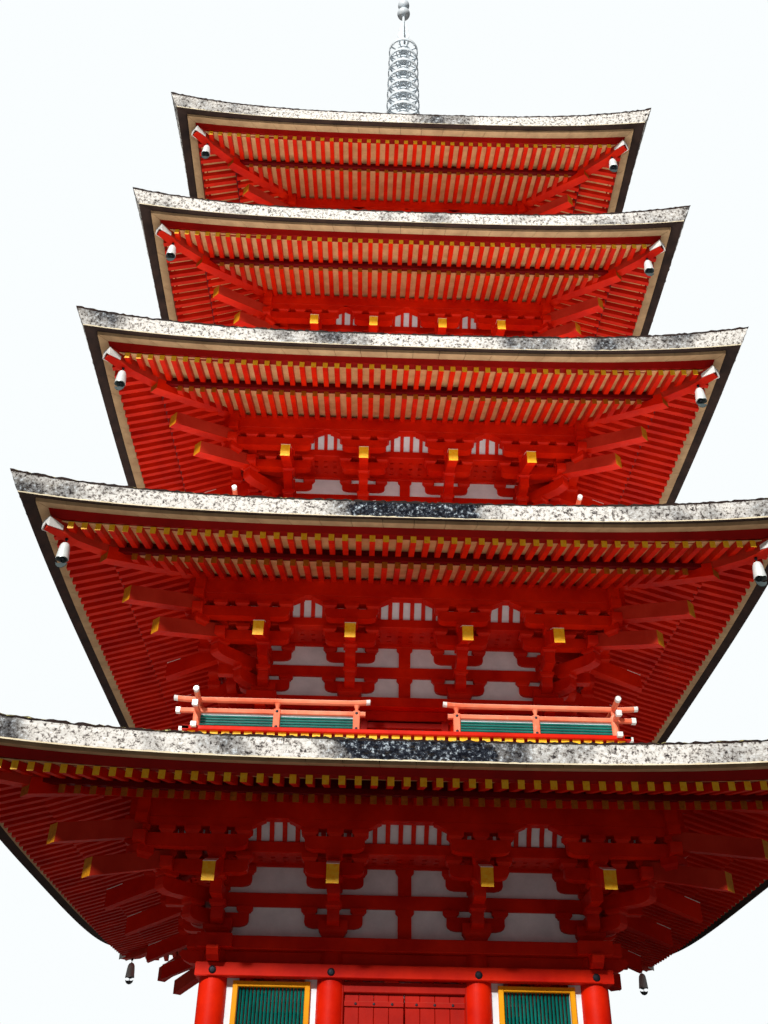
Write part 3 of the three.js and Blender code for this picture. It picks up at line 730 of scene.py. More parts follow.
def nail_covers(storey):
    part = Part(storey, storey.seat)
    for along in storey.places:
        for height in (-8.88, -17.9, storey.foot + 0.42):
            part.around(stud(along, 1.16, height, 0.27))
    part.piece("storey{}_nail_covers", [IRON], storey.body, "black_iron")


# Bracket clusters

def block(along, out, heights, top=BLOCK_TOP, foot=BLOCK_FOOT):
    """A bearing block: square above, drawn in by a hollow curve below."""
    low, high = heights
    waist = lerp(low, high, 0.45)
    rows = [(low, foot), (lerp(low, waist, 0.5), lerp(foot, top, 0.3)), (waist, top), (high, top)]
    return stack([[front(along + a * half, out + o * half, height)
                   for a, o in ((-1, 1), (1, 1), (1, -1), (-1, -1))] for height, half in rows])


def turned_block(out, heights, top=BLOCK_TOP, foot=BLOCK_FOOT):
    """The same block set on the front-left diagonal and turned with it."""
    points, faces = block(0, 0, heights, top, foot)
    return [((x - y) / ROOT2 - out, (x + y) / ROOT2 - out, z) for x, y, z in points], faces


def hollowed(curve, left, right, heights, left_free=True, right_free=True):
    """Outline of an arm between left and right, its free ends cut to a curve underneath."""
    low, high = heights
    cut = [(x, lerp(low, high, y)) for x, y in curve]
    outline = [(left, high)]
    outline += [(left + x, y) for x, y in cut] if left_free else [(left, low)]
    outline += [(right - x, y) for x, y in cut[::-1]] if right_free else [(right, low)]
    outline.append((right, high))
    return outline[::-1]


def forward_arm(reach, heights):
    """Outline of an arm that steps out from the wall, rounded under its end."""
    return hollowed(ROUND_END, -1.2, reach, heights, False)


def strut(low, high):
    """Outline of a short post with a block's flare at its head."""
    flare = high - 0.42
    return [(-0.48, low), (0.48, low), (0.48, flare - 0.05), (0.66, flare + 0.16), (0.66, high),
            (-0.66, high), (-0.66, flare + 0.16), (-0.48, flare - 0.05)]


def bracket_arms(storey):
    part = Part(storey, storey.seat)
    half = storey.half

    def across(curve, left, right, heights, steps, *free):
        out = steps * STEP
        part.around(arm(hollowed(curve, left, right, heights, *free), (out - ARM_HALF, out + ARM_HALF)))

    for along in storey.places[1:3]:
        for heights, steps in ((ARM_1, 0), (ARM_3, 0), (ARM_3, 2), (ARM_5, 3)):
            across(ROUND_END, along - ARM_REACH, along + ARM_REACH, heights, steps)
        across(BOAT_END, along - BOAT_REACH, along + BOAT_REACH, BOAT, 3)
        for reach, heights in ((STEP + 0.32, ARM_1), (2 * STEP + 0.32, TIE_2)):
            part.around(plate(forward_arm(reach, heights), along, 2 * ARM_HALF))
    for heights, steps, overrun in ((ARM_1, 0, STEP + 0.32), (ARM_3, 0, 0.9), (ARM_3, 2, 2 * STEP + 1.15),
                                    (ARM_5, 3, 3 * STEP + 1.1)):
        for left, right in mirrored(half - ARM_REACH, half + overrun):
            across(ROUND_END, left, right, heights, steps)
    for left, right in mirrored(half - BOAT_REACH, half + 3 * STEP + 1.25):
        across(BOAT_END, left, right, BOAT, 3, left > 0, left < 0)
    closed = storey.tip - storey.seat + PURLIN[1] + 0.9 * RAFTER_DEEP
    for steps, overrun, heights in ((2, 1.1, BEAM_4), (3, 1.0, (PURLIN[0], closed))):
        end, out = half + steps * STEP + overrun, steps * STEP
        part.around(beam((-end, end), (out - ARM_HALF, out + ARM_HALF), heights))
    for reach, heights in ((STEP + 0.35, ARM_1), (2 * STEP + 0.4, TIE_2)):
        part.corners(diagonal(forward_arm(reach, heights), 2.2 * ARM_HALF))
    if storey.centre >= 7:
        for heights in ((CAP_PLATE[1], TIE_2[0]), (TIE_2[1], BEAM_4[0])):
            part.around(arm(strut(*heights), (-0.3, 0.36)))
    part.piece("storey{}_bracket_arms", [VERMILION], ["storey{}_brackets"], smooth=30)


def bracket_blocks(storey):
    """The blocks between the arms, without those that two sides would both set at a corner."""
    part = Part(storey, storey.seat)
    half = storey.half
    first, second = (ARM_1[1], TIE_2[0]), (TIE_2[1], ARM_3[0])
    third, fifth = (ARM_3[1], BEAM_4[0]), (ARM_5[1], BOAT[0])
    spots = []
    for along in storey.places:
        if along != half:
            part.around(block(along, 0, (CAP_PLATE[1], -5.42), 1.0, 0.72))
            spots.append((along, 0, second))
        spots += [(along, 1, first), (along, 2, second), (along, 3, fifth),
                  (along, 3, (-2.62, ARM_5[0] + 0.02))]
        for beside in (along - STEP, along + STEP):
            if abs(beside) < half:
                spots += [(beside, 0, first), (beside, 0, third), (beside, 2, third), (beside, 3, fifth)]
    for steps, heights in ((3, fifth), (2, third)):
        for count in range(-steps, steps):
            if count:
                spots.append((math.copysign(half + abs(count) * STEP, count), steps, heights))
    for along, steps, heights in spots:
        part.around(block(along, steps * STEP, heights))
    part.corners(turned_block(STEP, first))
    part.corners(turned_block(2 * STEP, second))
    part.corners(turned_block(3 * STEP, (-2.7, ARM_5[0] + 0.02), 0.66, 0.46))
    part.piece("storey{}_bracket_blocks", [VERMILION], ["storey{}_brackets"])


def tail_rafters(storey):
    """Slanting tail rafters with ochre ends, and the stacked pair on each diagonal."""
    part = Part(storey, storey.tip)
    outline = [(0.3, -1.82), (8.13, -5.18), (8.13, -3.92), (0.3, -0.56)]
    lid = [(7.1, -3.49), (8.14, -3.93), (8.14, -3.88), (7.1, -3.44)]
    low = [(0.3, -1.76), (7.86, -5.07), (7.86, -3.82), (0.3, -0.52)]
    high = [(3.2, -0.76), (9.91, -3.54), (9.91, -2.28), (3.2, 0.49)]
    for along in storey.places:
        part.around(plate(outline, along, 0.82), 0, {1: 1})
        part.around(plate(lid, along, 0.86), 2)
    # The diagonal pair's sides take the pinker vermilion of painted sky light, and their ends the darker
    # ochre of painted shade.
    for stacked in (low, high):
        part.corners(diagonal(stacked, 0.9), 3, {0: 0, 1: 4})
    part.piece("storey{}_tail_rafters", [VERMILION, OCHRE, CAP_METAL, SKY_LIT_RED, HALF_SHADED_OCHRE],
               ["storey{}_brackets"])


def coving(storey):
    """Curved ribs over white boards up to the purlin, and the small grid ceiling behind them."""
    part = Part(storey, storey.seat)
    half = storey.half
    curve = [(3.72, -0.98), (3.95, -0.52), (4.3, -0.06), (4.86, 0.42)]

    def raised(lift):
        return [(out, height + lift) for out, height in curve]

    reach = half + 4.4
    part.around(lengthwise(raised(0.3)[::-1] + raised(0.2), (-reach, reach)), 1)
    part.around(box((-half - 3.4, half + 3.4), (0, 3.4), (-1.12, -1.02)), 1)
    count = int(reach / COVING_PITCH) + 1
    for index in range(-count, count + 1):
        along = index * COVING_PITCH
        if abs(along) < half + 3.0:
            part.around(box((along - 0.29, along + 0.29), (0.1, 3.3), (-1.42, -1.1)))
        along += COVING_PITCH / 2
        if abs(along) < half + 4.0:
            part.around(plate(raised(0.22)[::-1] + curve, along, 0.32))
    for out, broad in ((0.5, 0.4), (1.4, 0.3), (2.3, 0.3), (3.1, 0.3)):
        part.around(box((-half - out, half + out), (out - broad, out + broad), (-1.4, -1.1)))
    part.piece("storey{}_coving", [VERMILION, PLASTER], ["storey{}_brackets"])


# Eaves

def rafter_run(storey, tier, along):
    """Outline of one rafter, its foot on the wall or cut at the hip."""
    ease = abs(along / (storey.half + tier[1][1][0])) ** CURVE_POWER
    (foot, foot_low), (end, end_low) = [
        [lerp(mid, corner, ease) for mid, corner in zip(*place)] for place in tier]
    dip = storey.dip * (1 - ease)
    end_low -= dip
    slope = (foot_low - dip - end_low) / (end - foot)
    foot = max(foot, abs(along) - storey.half + 0.2)
    foot_low = end_low + (end - foot) * slope
    return [(foot, foot_low), (end, end_low), (end, end_low + RAFTER_DEEP), (foot, foot_low + RAFTER_DEEP)]


def rafters(storey):
    last = storey.half + LAST_RAFTER
    for kind, tier, limit, ends in (("flying", FLYING, last, OCHRE),
                                    ("ground", GROUND, storey.half + 10.2, DULL_OCHRE)):
        part = Part(storey, storey.tip)
        for index in range(int(round(2 * last)) + 1):
            along = index - last
            if abs(along) <= limit:
                part.around(plate(rafter_run(storey, tier, along), along, RAFTER_WIDE), 0, {1: 1})
        part.piece("roof{}_" + kind + "_rafters", [VERMILION, ends], ["roof{}_rafters"])


def eave_beams(storey):
    """The beams across the ends of both tiers."""
    part = Part(storey, storey.tip)
    # The outer beam takes the shaded vermilion; the beam over the ground rafters and its fillet take the
    # darker painted shade.
    for section, slot in ((KAYAOI, 0), (KIOI, 1), (FILLET, 1)):
        part.ring(section, stations_of(32), slot)
    part.piece("roof{}_eave_beams", [DEEP_RED, DARK_RED], ["roof{}_rafters"])


def board_over(tier, outer):
    """The section of the thin boards on a tier of rafters, up to a share of their run."""
    return [tuple((lerp(foot[0], end[0], share), lerp(foot[1], end[1], share) + RAFTER_DEEP + lift)
                  for foot, end in zip(*tier))
            for share, lift in ((0.0, 0.0), (outer, 0.0), (outer, 0.08), (0.0, 0.08))]


def soffit(storey):
    """Thin boards on the rafters, and the jointed board that carries the bark's edge."""
    part = Part(storey, storey.tip)
    part.ring(board_over(GROUND, 0.99), stations_of(32))
    part.ring(board_over(FLYING, 0.97), stations_of(32))
    part.piece("roof{}_soffit_boards", [TAN_BOARD], ["roof{}_rafters"], "eave_board")
    edge = Part(storey, storey.tip)
    count = int(round(2 * (storey.half + 16.5) / 2.3))
    for index in range(count):
        stations = [2 * (index + place) / count - 1 for place in (0.008, 0.992)]
        edge.around(stack([[eave_point(storey, point, station) for point in JOINTED_BOARD]
                           for station in stations]))
    edge.piece("roof{}_eave_board", [EAVE_BOARD], ["roof{}_rafters"], "eave_board")


def hips(storey):
    """Hip rafters of both tiers, with a sheet of pale metal folded over their tips."""
    part = Part(storey, storey.tip)
    lower = [(0.3, 2.9), (6.4, 1.0), (11.65, -1.05), (11.65, 0.08), (6.4, 2.0), (0.3, 3.4)]
    upper = [(9.4, 0.4), (11.7, -0.45), (13.4, -0.68), (15.12, -0.5), (15.12, 0.3), (9.4, 1.4)]
    part.corners(diagonal(lower, 0.95), 0, {2: 1})
    # The upper hip's sides take the pinker vermilion of painted sky light.
    part.corners(diagonal(upper, 0.85), 3, {0: 0, 1: 0, 2: 0})
    wide, sheet = 0.43, 0.05
    wing = [(14.4, -0.42), (15.2, -0.56), (15.24, 0.24), (14.4, -0.06)]
    for side in (-1, 1):
        part.corners(stack([[slanting(o, side * shift, h) for o, h in wing]
                            for shift in (wide + sheet, wide)]), 2)
    drip = [(-wide, 0.24), (wide, 0.24), (wide, -0.56), (0.0, -0.12), (-wide, -0.56)]
    part.corners(stack([[slanting(o, shift, h) for shift, h in drip] for o in (15.2, 15.25)]), 2)
    part.piece("roof{}_hip_rafters", [VERMILION, DULL_OCHRE, CAP_METAL, SKY_LIT_RED], ["roof{}_rafters"])


def bells(storey):
    """Wind bells with hooks, clappers and curved wind plates."""
    part = Part(storey, storey.tip)
    centre = (-BELL_OUT, -BELL_OUT)
    outer = [(0.465, -2.56), (0.475, -2.5), (0.45, -2.26), (0.42, -1.9), (0.39, -1.6), (0.35, -1.34),
             (0.26, -1.14), (0.1, -1.04), (0.05, -1.0)]
    inner = [(0.03, -1.14), (0.18, -1.24), (0.26, -1.46), (0.3, -1.8), (0.34, -2.2), (0.38, -2.56)]
    points, faces = torus_of(outer + inner, 20)
    # The mouth rises between its four tips
    points = [(x - BELL_OUT, y - BELL_OUT, z + 0.1 * abs(math.sin(2 * math.atan2(y, x))) * (z < -2.4))
              for x, y, z in points]
    # Inner faces take the dark grey of painted shade.
    part.corners((points, faces), ([0] * len(outer) + [2] * len(inner)) * 20)
    for radius, low, high in ((0.03, -2.8, -1.1), (0.035, -1.02, -0.4)):
        part.corners(lathe([(radius, low), (radius, high)], 6, centre), 1)
    part.corners(lathe([(0.02, -2.52), (0.13, -2.44), (0.13, -2.3), (0.02, -2.22)], 8, centre), 1)
    part.corners(lathe([(0.02, -0.86), (0.12, -0.8), (0.12, -0.66), (0.02, -0.6)], 8, centre), 1)
    wing = [(-0.42, -2.76), (-0.36, -2.98), (-0.2, -3.14), (0.0, -3.2), (0.2, -3.14), (0.36, -2.98),
            (0.42, -2.76), (0.24, -2.84), (0.0, -2.8), (-0.24, -2.84)]
    reach = storey.half + BELL_OUT
    for x in (-reach, reach):
        for y in (-reach, reach):
            part.add(arm(wing, (0.035, -0.035)), 2, place=(x, y))
    part.piece("roof{}_wind_bells", [BELL_METAL, IRON, DARK_BELL_GREY], ["roof{}_rafters"], "bell_metal", 40)


def between(first, last, share):
    """A section point part of the way from one to another."""
    return tuple(tuple(lerp(a, b, share) for a, b in zip(p, q)) for p, q in zip(first, last))


def bark_roof(storey, above):
    """Bark laid in courses: a flecked cut edge, a dark underside in painted shade with a line of it under
    the crest, a cream lower lip partly painted sunlight, and a sagging fibrous slope.
    """
    collar = ((above.half + 2.6) * above.plan if above else 3.6) / storey.plan - storey.half
    rise, sag = (5.4, 0.3) if above else (FINIAL_FOOT, 0.42)
    under = JOINTED_BOARD[2]
    section = [((14.6, 0.8), (14.8, 1.75)), tuple((o, h + 0.02) for o, h in under),
               between(under, BARK_LOW, 0.8), BARK_LOW]
    section += [between(BARK_LOW, BARK_HIGH, share)
                for share in (0.07, 0.18, 0.29, 0.4, 0.51, 0.62, 0.73, 0.82, 0.9)]
    section.append(BARK_HIGH)
    crest = len(section) - 1
    for share in (0.012, 0.04, 0.08, 0.14, 0.22, 0.32, 0.44, 0.57, 0.71, 0.86):
        lift = share * (1 - sag) + share * share * sag
        mid, corner = [(lerp(out, collar, share), lerp(height, rise, lift)) for out, height in BARK_HIGH]
        section.append((mid, (corner[0], lerp(mid[1], corner[1], 1 - share))))
    section += [((collar, rise),) * 2, ((collar, rise - 1.2),) * 2]
    # Face slots: the underside in painted shade, the cream lip, the flecked edge, a line of painted shade
    # under the crest, moss, the slope, and the closing face in painted shade
    kinds = [1, 1, 1, 2] + [0] * 8 + [4, 5] + [3] * 11 + [1]

    def wobble(side):
        rows, size, _ = side.shape
        for index in range(4, crest):
            ledge = 0.03 * ((index % 2) * 2 - 1)
            side[:, index, 1] -= RNG.normal(0, 0.022, rows) + ledge - 0.01
            side[:, index, 2] += RNG.normal(0, 0.014, rows)
        side[:, crest - 2, 1] += 0.06
        side[:, crest, 2] += np.clip(RNG.normal(-0.02, 0.05, rows), -0.1, 0.06)
        for index in range(crest + 1, size - 2):
            side[:, index, 2] += RNG.normal(0, 0.035, rows)

    part = Part(storey, storey.tip)
    part.ring(section, stations_of(int(2 * (storey.half + 17.5) / 0.25)), kinds, wobble)
    # The two lower roofs take the bark edge with a painted shadow across the middle of each side.
    edge = MID_SHADED_BARK_EDGE if storey.number < 3 else BARK_EDGE
    part.piece("roof{}_bark_layers", [edge, DARK_BARK_SHADE, CREAM_LIT_LIP, BARK_TOP, DARK_BARK_SHADE, MOSS], ["roof{}_bark"],
               "cypress_bark", 60)


# Balconies

def deck(storey):
    """Planks on an edge beam and joists with ochre ends, and the white skirt below."""
    part = Part(storey, storey.floor)
    half, edge, planks = storey.half, storey.half + DECK_OUT, 9
    part.around(beam((-edge, edge), (DECK_OUT - 0.5, DECK_OUT), (DECK_UNDER, 0)))
    for index in range(planks):
        outs = [0.9 + (DECK_OUT - 1.4) * (index + gap) / planks for gap in (0.02, 0.98)]
        part.around(box((-half - outs[1], half + outs[1]), outs, (-0.2, -0.02)))
    part.around(beam((-half - 3.2, half + 3.2), (2.2, 3.2), (DECK_UNDER - 1.5, DECK_UNDER - 0.62), 0.06))
    count = int(2 * (half + 4.6) / 0.83)
    for index in range(count + 1):
        along = -half - 4.6 + index * 2 * (half + 4.6) / count
        foot, low = max(1.5, abs(along) - half + 0.2), DECK_UNDER - 0.62
        joist = [(foot, low), (5.05, low), (5.05, DECK_UNDER), (foot, DECK_UNDER)]
        part.around(plate(joist, along, 0.58), 0, {1: 1})
    collar = half + 2.45
    part.around(box((-collar, collar), (2.15, 2.45), (DECK_UNDER - 3.1, DECK_UNDER - 1.4)), 2)
    part.piece("storey{}_deck", [VERMILION, OCHRE, PLASTER], ["storey{}_balcony"])


def flared(start, end):
    """A round top rail from start to end that turns up at both tips, and the slots of its faces."""
    sides, radius = 10, 0.22
    rows = []
    for share in (0, 0.02, 0.05, 0.09, 0.14, 0.3, 0.5, 0.7, 0.86, 0.91, 0.95, 0.98, 1):
        along = start + (end - start) * share
        height = RAIL_TOP + 0.12 * max(0.0, 1 - min(along - start, end - along) / 1.6) ** 1.8
        rows.append([front(along, RAIL_LINE + radius * math.cos(turn), height + radius * math.sin(turn))
                     for turn in turns(sides)])
    cap = [4] * sides
    return stack(rows), cap + [0] * sides * (len(rows) - 3) + cap + [4, 4]


def railing(storey):
    """A railing with round top rail, posts, slats and metal caps, open at the centre bay."""
    part = Part(storey, storey.floor)
    line = storey.half + RAIL_LINE
    for span in mirrored(GATE, line + 1.9):
        part.around(*flared(*span))
    for near, overhang, height, half_deep in ((0.35, 1.6, RAIL_MIDDLE, 0.18), (0.8, 1.2, 0.0, 0.14)):
        far = line + overhang
        rail = (height - half_deep, height + half_deep)
        cap = (rail[0] - 0.04, rail[1] + 0.04)
        for span in mirrored(GATE + near, far):
            part.around(beam(span, (RAIL_LINE - 0.17, RAIL_LINE + 0.17), rail))
        for span in mirrored(far - 0.3, far + 0.03):
            part.around(beam(span, (RAIL_LINE - 0.21, RAIL_LINE + 0.21), cap, 0.03), 4)
    posts = [place for place in (line - 6.05, line - 12.1) if place > GATE]
    knob = [(0.22, RAIL_MIDDLE + 0.15), (0.14, RAIL_MIDDLE + 0.3), (0.13, RAIL_MIDDLE + 0.42),
            (0.24, RAIL_TOP - 0.2)]
    for along in posts + [-place for place in posts]:
        part.around(upright((along - 0.26, along + 0.26), (RAIL_LINE - 0.26, RAIL_LINE + 0.26),
                            (0, RAIL_MIDDLE + 0.2)))
        part.around(lathe(knob, 12, (along, -RAIL_LINE)))
        for height in (RAIL_MIDDLE, 0.3):
            part.around(stud(along, RAIL_LINE + 0.24, height, 0.12), 2)
    slats, tall = 5, RAIL_MIDDLE - 0.44
    for span in mirrored((posts or [line])[-1], line):
        for index in range(slats):
            height = [0.14 + tall * (index + share) / slats for share in (0, 0.62)]
            part.around(beam(span, (RAIL_LINE - 0.06, RAIL_LINE + 0.1), height, 0.02), 1)
        part.around(box(span, (RAIL_LINE - 0.14, RAIL_LINE - 0.06), (0.1, RAIL_MIDDLE - 0.15)), 3)
    post = [(0.3, 0), (0.3, RAIL_MIDDLE + 0.3), (0.2, RAIL_MIDDLE + 0.4), (0.2, RAIL_TOP)]
    part.corners(lathe(post, 16, (-RAIL_LINE, -RAIL_LINE)))
    part.piece("storey{}_railing", [RAIL_RED, GREEN, IRON, PLASTER, CAP_METAL], ["storey{}_balcony"],
               smooth=35)


# Finial

def bronze(part, name, node, smooth=None):
    part.piece(name, [BRONZE], [node], "weathered_bronze", smooth)


def petal(angle, near, far, low, lift):
    """A cupped petal from near to far that rises by lift."""
    rows, across = 7, 5
    size = rows * across
    points, faces = [], []
    for thick in (0.0, 0.08):
        for row in range(rows):
            share = row / (rows - 1)
            width = math.sin(math.pi * min(0.98, 0.25 + 0.75 * share)) ** 0.7 * 0.78
            for index in range(across):
                offset = (index / (across - 1) - 0.5) * 2
                place = spun(lerp(near, far, share), offset * width, angle)
                points.append((*place, low + lift * share ** 1.6 + 0.14 * offset * offset - thick))
    for start in range(size - across):
        if (start + 1) % across:
            quad = (start, start + 1, start + across + 1, start + across)
            faces += [quad, tuple(size + index for index in quad[::-1])]
    rim = [*range(across), *range(2 * across - 1, size, across),
           *range(size - 2, size - across - 1, -1), *range(size - 2 * across, 0, -across)]
    faces += [(last, first, first + size, last + size) for first, last in zip(rim, rim[1:] + rim[:1])]
    return points, faces


def basin_bowl_and_lotus(foot):
    """The box, the inverted bowl and the two rows of petals that the mast stands in."""
    basin = Part(level=foot)
    for reach, low, high in ((3.7, 0, 0.4), (3.5, 0.4, 0.62), (3.25, 0.62, 3.18), (3.5, 3.18, 3.4),
                             (3.7, 3.4, BASIN_TALL)):
        basin.add(upright((-reach, reach), (-reach, reach), (low, high), 0.06))
    for wide, proud, inset in ((1.4, 3.32, 0.9), (1.15, 3.4, 1.12)):
        for along in (-1.62, 1.62):
            basin.around(box((along - wide, along + wide), (3.2, proud), (inset, BASIN_TALL - inset)))
    bronze(basin, "finial_dew_basin", "finial_base")
    bowl = Part(level=foot + BASIN_TALL)
    bowl.add(lathe([(2.8, 0), (2.83, 0.25), (2.78, 0.8), (2.7, 1.3), (2.5, 1.85), (2.15, 2.35), (1.7, 2.75),
                    (1.3, 3.0), (1.12, BOWL_TALL)], 48))
    for height, radius in ((0.28, 2.88), (1.35, 2.75)):
        bowl.add(torus_of([(radius - 0.1, height - 0.09), (radius, height - 0.05), (radius, height + 0.05),
                           (radius - 0.12, height + 0.09)], 48))
    bronze(bowl, "finial_inverted_bowl", "finial_bowl", 40)
    lotus = Part(level=foot + BASIN_TALL + BOWL_TALL)
    lotus.add(lathe([(1.15, 0), (1.2, 0.3), (1.3, 0.5), (1.2, CALYX_TALL)], 32))
    for start, reach, low, lift in ((0.0, 3.05, 0.35, 1.5), (0.5, 2.6, 0.55, 2.15)):
        for index in range(12):
            lotus.add(petal(2 * math.pi * (index + start) / 12, 1.0, reach, low, lift))
    bronze(lotus, "finial_lotus_petals", "finial_lotus", 50)


def mast_and_rings(foot):
    mast, part = Part(level=MAST_ZERO), Part(level=MAST_ZERO)
    mast.add(lathe([(0.46, foot - MAST_ZERO), (0.42, foot - MAST_ZERO + 2), (0.36, FLAME[0])], 20))
    for ring in range(9):
        height = 153.6 - ring * 2.87
        mast.add(lathe([(0.44, height - 0.78), (0.62, height - 0.7), (0.62, height - 0.2),
                        (0.44, height - 0.1)], 20))
        radius, low = lerp(2.31, 2.62, ring / 8), height - 0.72
        part.add(torus_of([(radius - 0.12, low), (radius, low + 0.06), (radius - 0.02, height - 0.06),
                           (radius - 0.1, height), (radius - 0.16, height - 0.06),
                           (radius - 0.18, low + 0.08)], 48))
        part.add(torus_of([(1.05, low + 0.2), (1.2, low + 0.2), (1.2, low + 0.5), (1.05, low + 0.5)], 32))
        for spoke in range(8):
            ends = [(0.5, -0.09), (radius - 0.1, -0.09), (radius - 0.1, 0.09), (0.5, 0.09)]
            plan = [spun(x, y, math.pi * (spoke + 0.5) / 4) for x, y in ends]
            part.add(stack([[(x, y, low + h) for x, y in plan] for h in (0.24, 0.46)]))
        for drop in range(12):
            part.add(lathe([(0.1, low - 0.34), (0.1, low - 0.3), (0.07, low - 0.14), (0.02, low - 0.06),
                            (0.02, low + 0.04)], 6, spun(radius * 0.985, 0, math.pi * (drop + 0.5) / 6)))
    bronze(mast, "finial_mast", "finial_mast_and_rings", 40)
    bronze(part, "finial_nine_rings", "finial_mast_and_rings", 40)


def flame_and_jewels():
    low, high = FLAME
    flame = Part(level=MAST_ZERO)
    wing = [(0.1, 0.0), (0.45, 0.03), (0.8, 0.1), (1.0, 0.2), (0.86, 0.26), (0.78, 0.32), (0.92, 0.38),
            (0.96, 0.46), (0.74, 0.52), (0.66, 0.58), (0.76, 0.66), (0.6, 0.74), (0.46, 0.78),
            (0.5, 0.86), (0.34, 0.94), (0.22, 1.0), (0.1, 0.96)]
    flame.around(plate([(o, lerp(low, high, share)) for o, share in wing], 0, 0.1))
    flame.add(lathe([(0.3, low), (0.24, high), (0.2, 164)], 16))
    bronze(flame, "finial_water_flame", "finial_flame", 40)
    jewels = Part(level=MAST_ZERO)
    jewels.add(lathe([(1.05 * math.cos(turn) + 0.001, JEWEL_BALL + 1.05 * math.sin(turn))
                      for turn in np.linspace(-1.35, 1.35, 15)], 32))
    drop = [(0.3, 0.1), (0.62, 0.3), (0.84, 0.6), (0.95, 1.1), (0.9, 1.55), (0.7, 2.0), (0.42, 2.4),
            (0.2, 2.7), (0.04, 3.0)]
    jewels.add(lathe([(0.24, JEWEL_BALL + 0.9)] + [(r, JEWEL_FOOT + h) for r, h in drop], 32))
    bronze(jewels, "finial_ball_and_jewel", "finial_jewels", 50)


# Podium

def podium():
    part = Part()
    top, half, reach = PODIUM_TOP, PODIUM_HALF, PODIUM_HALF + PODIUM_CAP
    core = (0.5 - half, half - 0.5)
    part.add(box(core, core, (0, top - 0.4)))
    foot, lip = 120 / 180, top - 160 / 180
    for low, high, length in ((0, foot, 5.0), (lip, top, 4.6)):
        count = round(2 * reach / length)
        for index in range(count):
            ends = [-reach + 2 * reach * (index + gap) / count for gap in (0.004, 0.996)]
            part.around(beam(ends, (reach - 1.9, reach), (low, high), 0.06))
    bay = (2 * half - 1.1) / 8
    for index in range(9):
        along = -half + 0.55 + bay * index
        part.around(upright((along - 0.55, along + 0.55), (half - 0.9, half), (foot, lip)))
        if index < 8:
            part.around(box((along + 0.6, along + bay - 0.6), (half - 0.8, half - 0.16), (foot, lip)))
    paving = half - 1.6
    spans = [[-paving + 2 * paving * (row + gap) / 10 for gap in (0.01, 0.99)] for row in range(10)]
    for across in spans:
        for ahead in spans:
            part.add(box(across, ahead, (top - 0.5, top - 0.02)))
    part.piece("podium_stones", [GRANITE], ["podium"], "granite")


def steps():
    part = Part()
    cheek, rise, foot = 240 / 180, PODIUM_TOP / STEP_COUNT, 130 / 180
    face = PODIUM_HALF + PODIUM_CAP
    end = face + STEP_TREAD * STEP_COUNT
    for step in range(1, STEP_COUNT):
        reach = end - STEP_TREAD * step
        for index in range(3):
            ends = [-STEP_WIDTH / 2 + STEP_WIDTH * (index + gap) / 3 for gap in (0.006, 0.994)]
            part.around(beam(ends, (reach - STEP_TREAD - 0.1, reach), (rise * (step - 1), rise * step)))
    outline = [(face, 0), (end, 0), (end, foot), (end - 0.25, foot + 0.14),
               (face + STEP_TREAD / 2, PODIUM_TOP - foot / 2), (face, PODIUM_TOP - foot / 2)]
    for side in (-1, 1):
        part.around(plate(outline, side * (STEP_WIDTH + cheek) / 2, cheek))
    part.piece("stone_steps", [GRANITE], [f"steps_{side}" for side in SIDES], "granite")


# Stage

def studio_floor():
    mesh = bpy.data.meshes.new("studio_floor")
    size = 150
    mesh.from_pydata([(-size, -size, 0), (size, -size, 0), (size, size, 0), (-size, size, 0)], [],
                     [(0, 1, 2, 3)])
    floor = bpy.data.objects.new("studio_floor", mesh)
    bpy.context.scene.collection.objects.link(floor)
    nodes = Nodes("pale_floor", 0.9, specular=0.1)
    nodes.colour(nodes.ramp(nodes.noise(0.2), [(0.3, (134, 132, 129)), (0.7, (142, 140, 137))]))
    mesh.materials.append(nodes.material)


def sky():
    """A faint even light from all round, and a pale backdrop that only the camera sees."""
    world = bpy.data.worlds.new("studio")
    bpy.context.scene.world = world
    world.use_nodes = True
    tree = world.node_tree
    ambient = tree.nodes["Background"]
    ambient.inputs["Color"].default_value = (0.9, 0.95, 1.0, 1)
    ambient.inputs["Strength"].default_value = AMBIENT
    backdrop = tree.nodes.new("ShaderNodeBackground")
    backdrop.inputs["Color"].default_value = (0.955, 0.99, 1.0, 1)
    backdrop.inputs["Strength"].default_value = 1.0
    seen = tree.nodes.new("ShaderNodeLightPath")
    either = tree.nodes.new("ShaderNodeMixShader")
    tree.links.new(seen.outputs["Is Camera Ray"], either.inputs["Fac"])
    tree.links.new(ambient.outputs["Background"], either.inputs[1])
    tree.links.new(backdrop.outputs["Background"], either.inputs[2])
    tree.links.new(either.outputs["Shader"], tree.nodes["World Output"].inputs["Surface"])


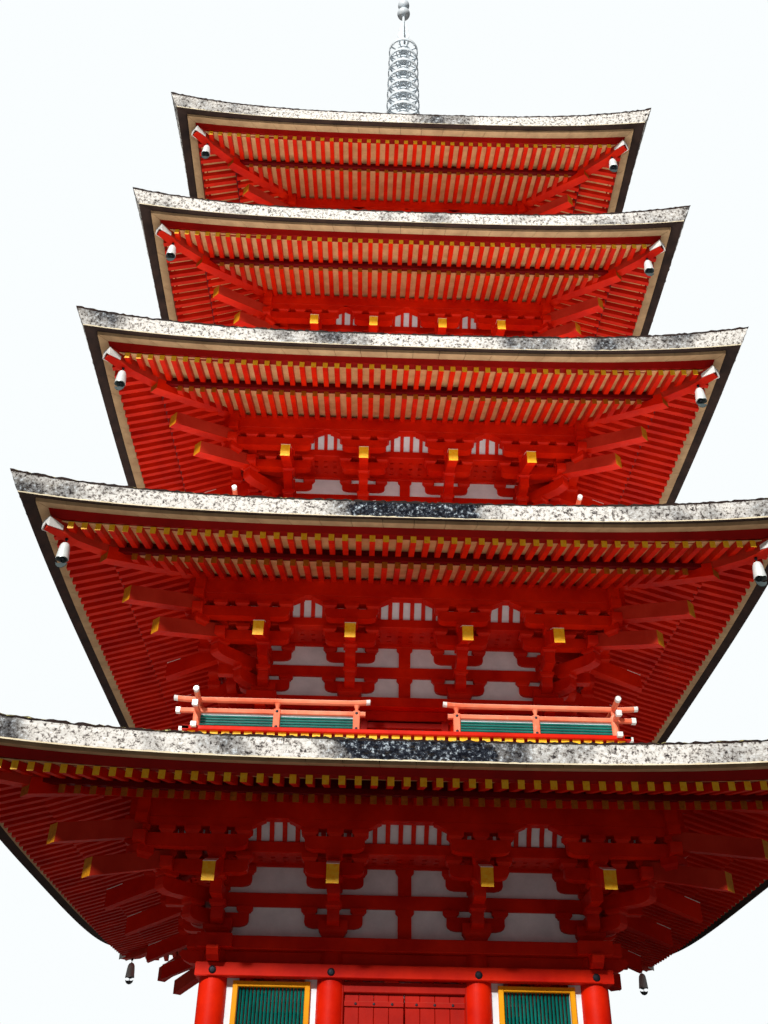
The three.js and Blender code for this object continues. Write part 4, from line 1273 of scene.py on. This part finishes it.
def lamp(kind, name, energy, place, target, **settings):
    light = bpy.data.lights.new(name, kind)
    light.energy = energy
    for key, value in settings.items():
        setattr(light, key, value)
    obj = bpy.data.objects.new(name, light)
    obj.location = place
    obj.rotation_euler = (Vector(target) - Vector(place)).to_track_quat("-Z", "Y").to_euler()
    obj.visible_camera = False
    bpy.context.scene.collection.objects.link(obj)


def lamps():
    lamp("SUN", "key_sun", SUN, (-10, -30, 27), (0, 0, 10), angle=math.radians(4), color=(1.0, 0.97, 0.92))
    for roof, watts in zip(STOREYS, ROOF_GLOW):
        height = (roof.tip + 5.6) * SHI
        lamp("AREA", f"glow_{roof.number}", watts, (0, -1.4, height), (0, -1.4, height + 1),
             size=2 * (roof.half + 17) * roof.spacing, color=(1.0, 0.94, 0.86))


def photo_camera():
    """The camera that the photograph was solved for: place, yaw, tilt and roll."""
    yaw, tilt, roll = math.radians(1.0), math.radians(34.95), math.radians(1.03)
    right = Vector((math.cos(yaw), -math.sin(yaw), 0))
    level = Vector((math.sin(yaw), math.cos(yaw), 0))
    rise = Vector((0, 0, 1))
    ahead = math.cos(tilt) * level + math.sin(tilt) * rise
    up = -math.sin(tilt) * level + math.cos(tilt) * rise
    across = math.cos(roll) * right + math.sin(roll) * up
    upward = -math.sin(roll) * right + math.cos(roll) * up
    data = bpy.data.cameras.new("photo_camera")
    data.sensor_width = 36
    data.lens = 35.49
    data.clip_end = 500
    camera = bpy.data.objects.new("photo_camera", data)
    turn = Matrix((across, upward, -ahead)).transposed().to_4x4()
    camera.matrix_world = Matrix.Translation((-0.601, -16.18, 0.86)) @ turn
    bpy.context.scene.collection.objects.link(camera)
    bpy.context.scene.camera = camera


bpy.context.scene.view_settings.view_transform = "Standard"
photo_camera()
studio_floor()
sky()
lamps()
podium()
steps()
for storey, above in zip(STOREYS, STOREYS[1:] + [None]):
    for build in (columns, wall_beams, wall_panels, windows, doors, bracket_arms, bracket_blocks,
                  tail_rafters, coving, rafters, eave_beams, soffit, hips, bells):
        build(storey)
    bark_roof(storey, above)
    if storey.number > 1:
        deck(storey)
        railing(storey)
nail_covers(STOREYS[0])
finial_foot = STOREYS[-1].tip + FINIAL_FOOT
basin_bowl_and_lotus(finial_foot)
mast_and_rings(finial_foot + BASIN_TALL + BOWL_TALL + CALYX_TALL)
flame_and_jewels()
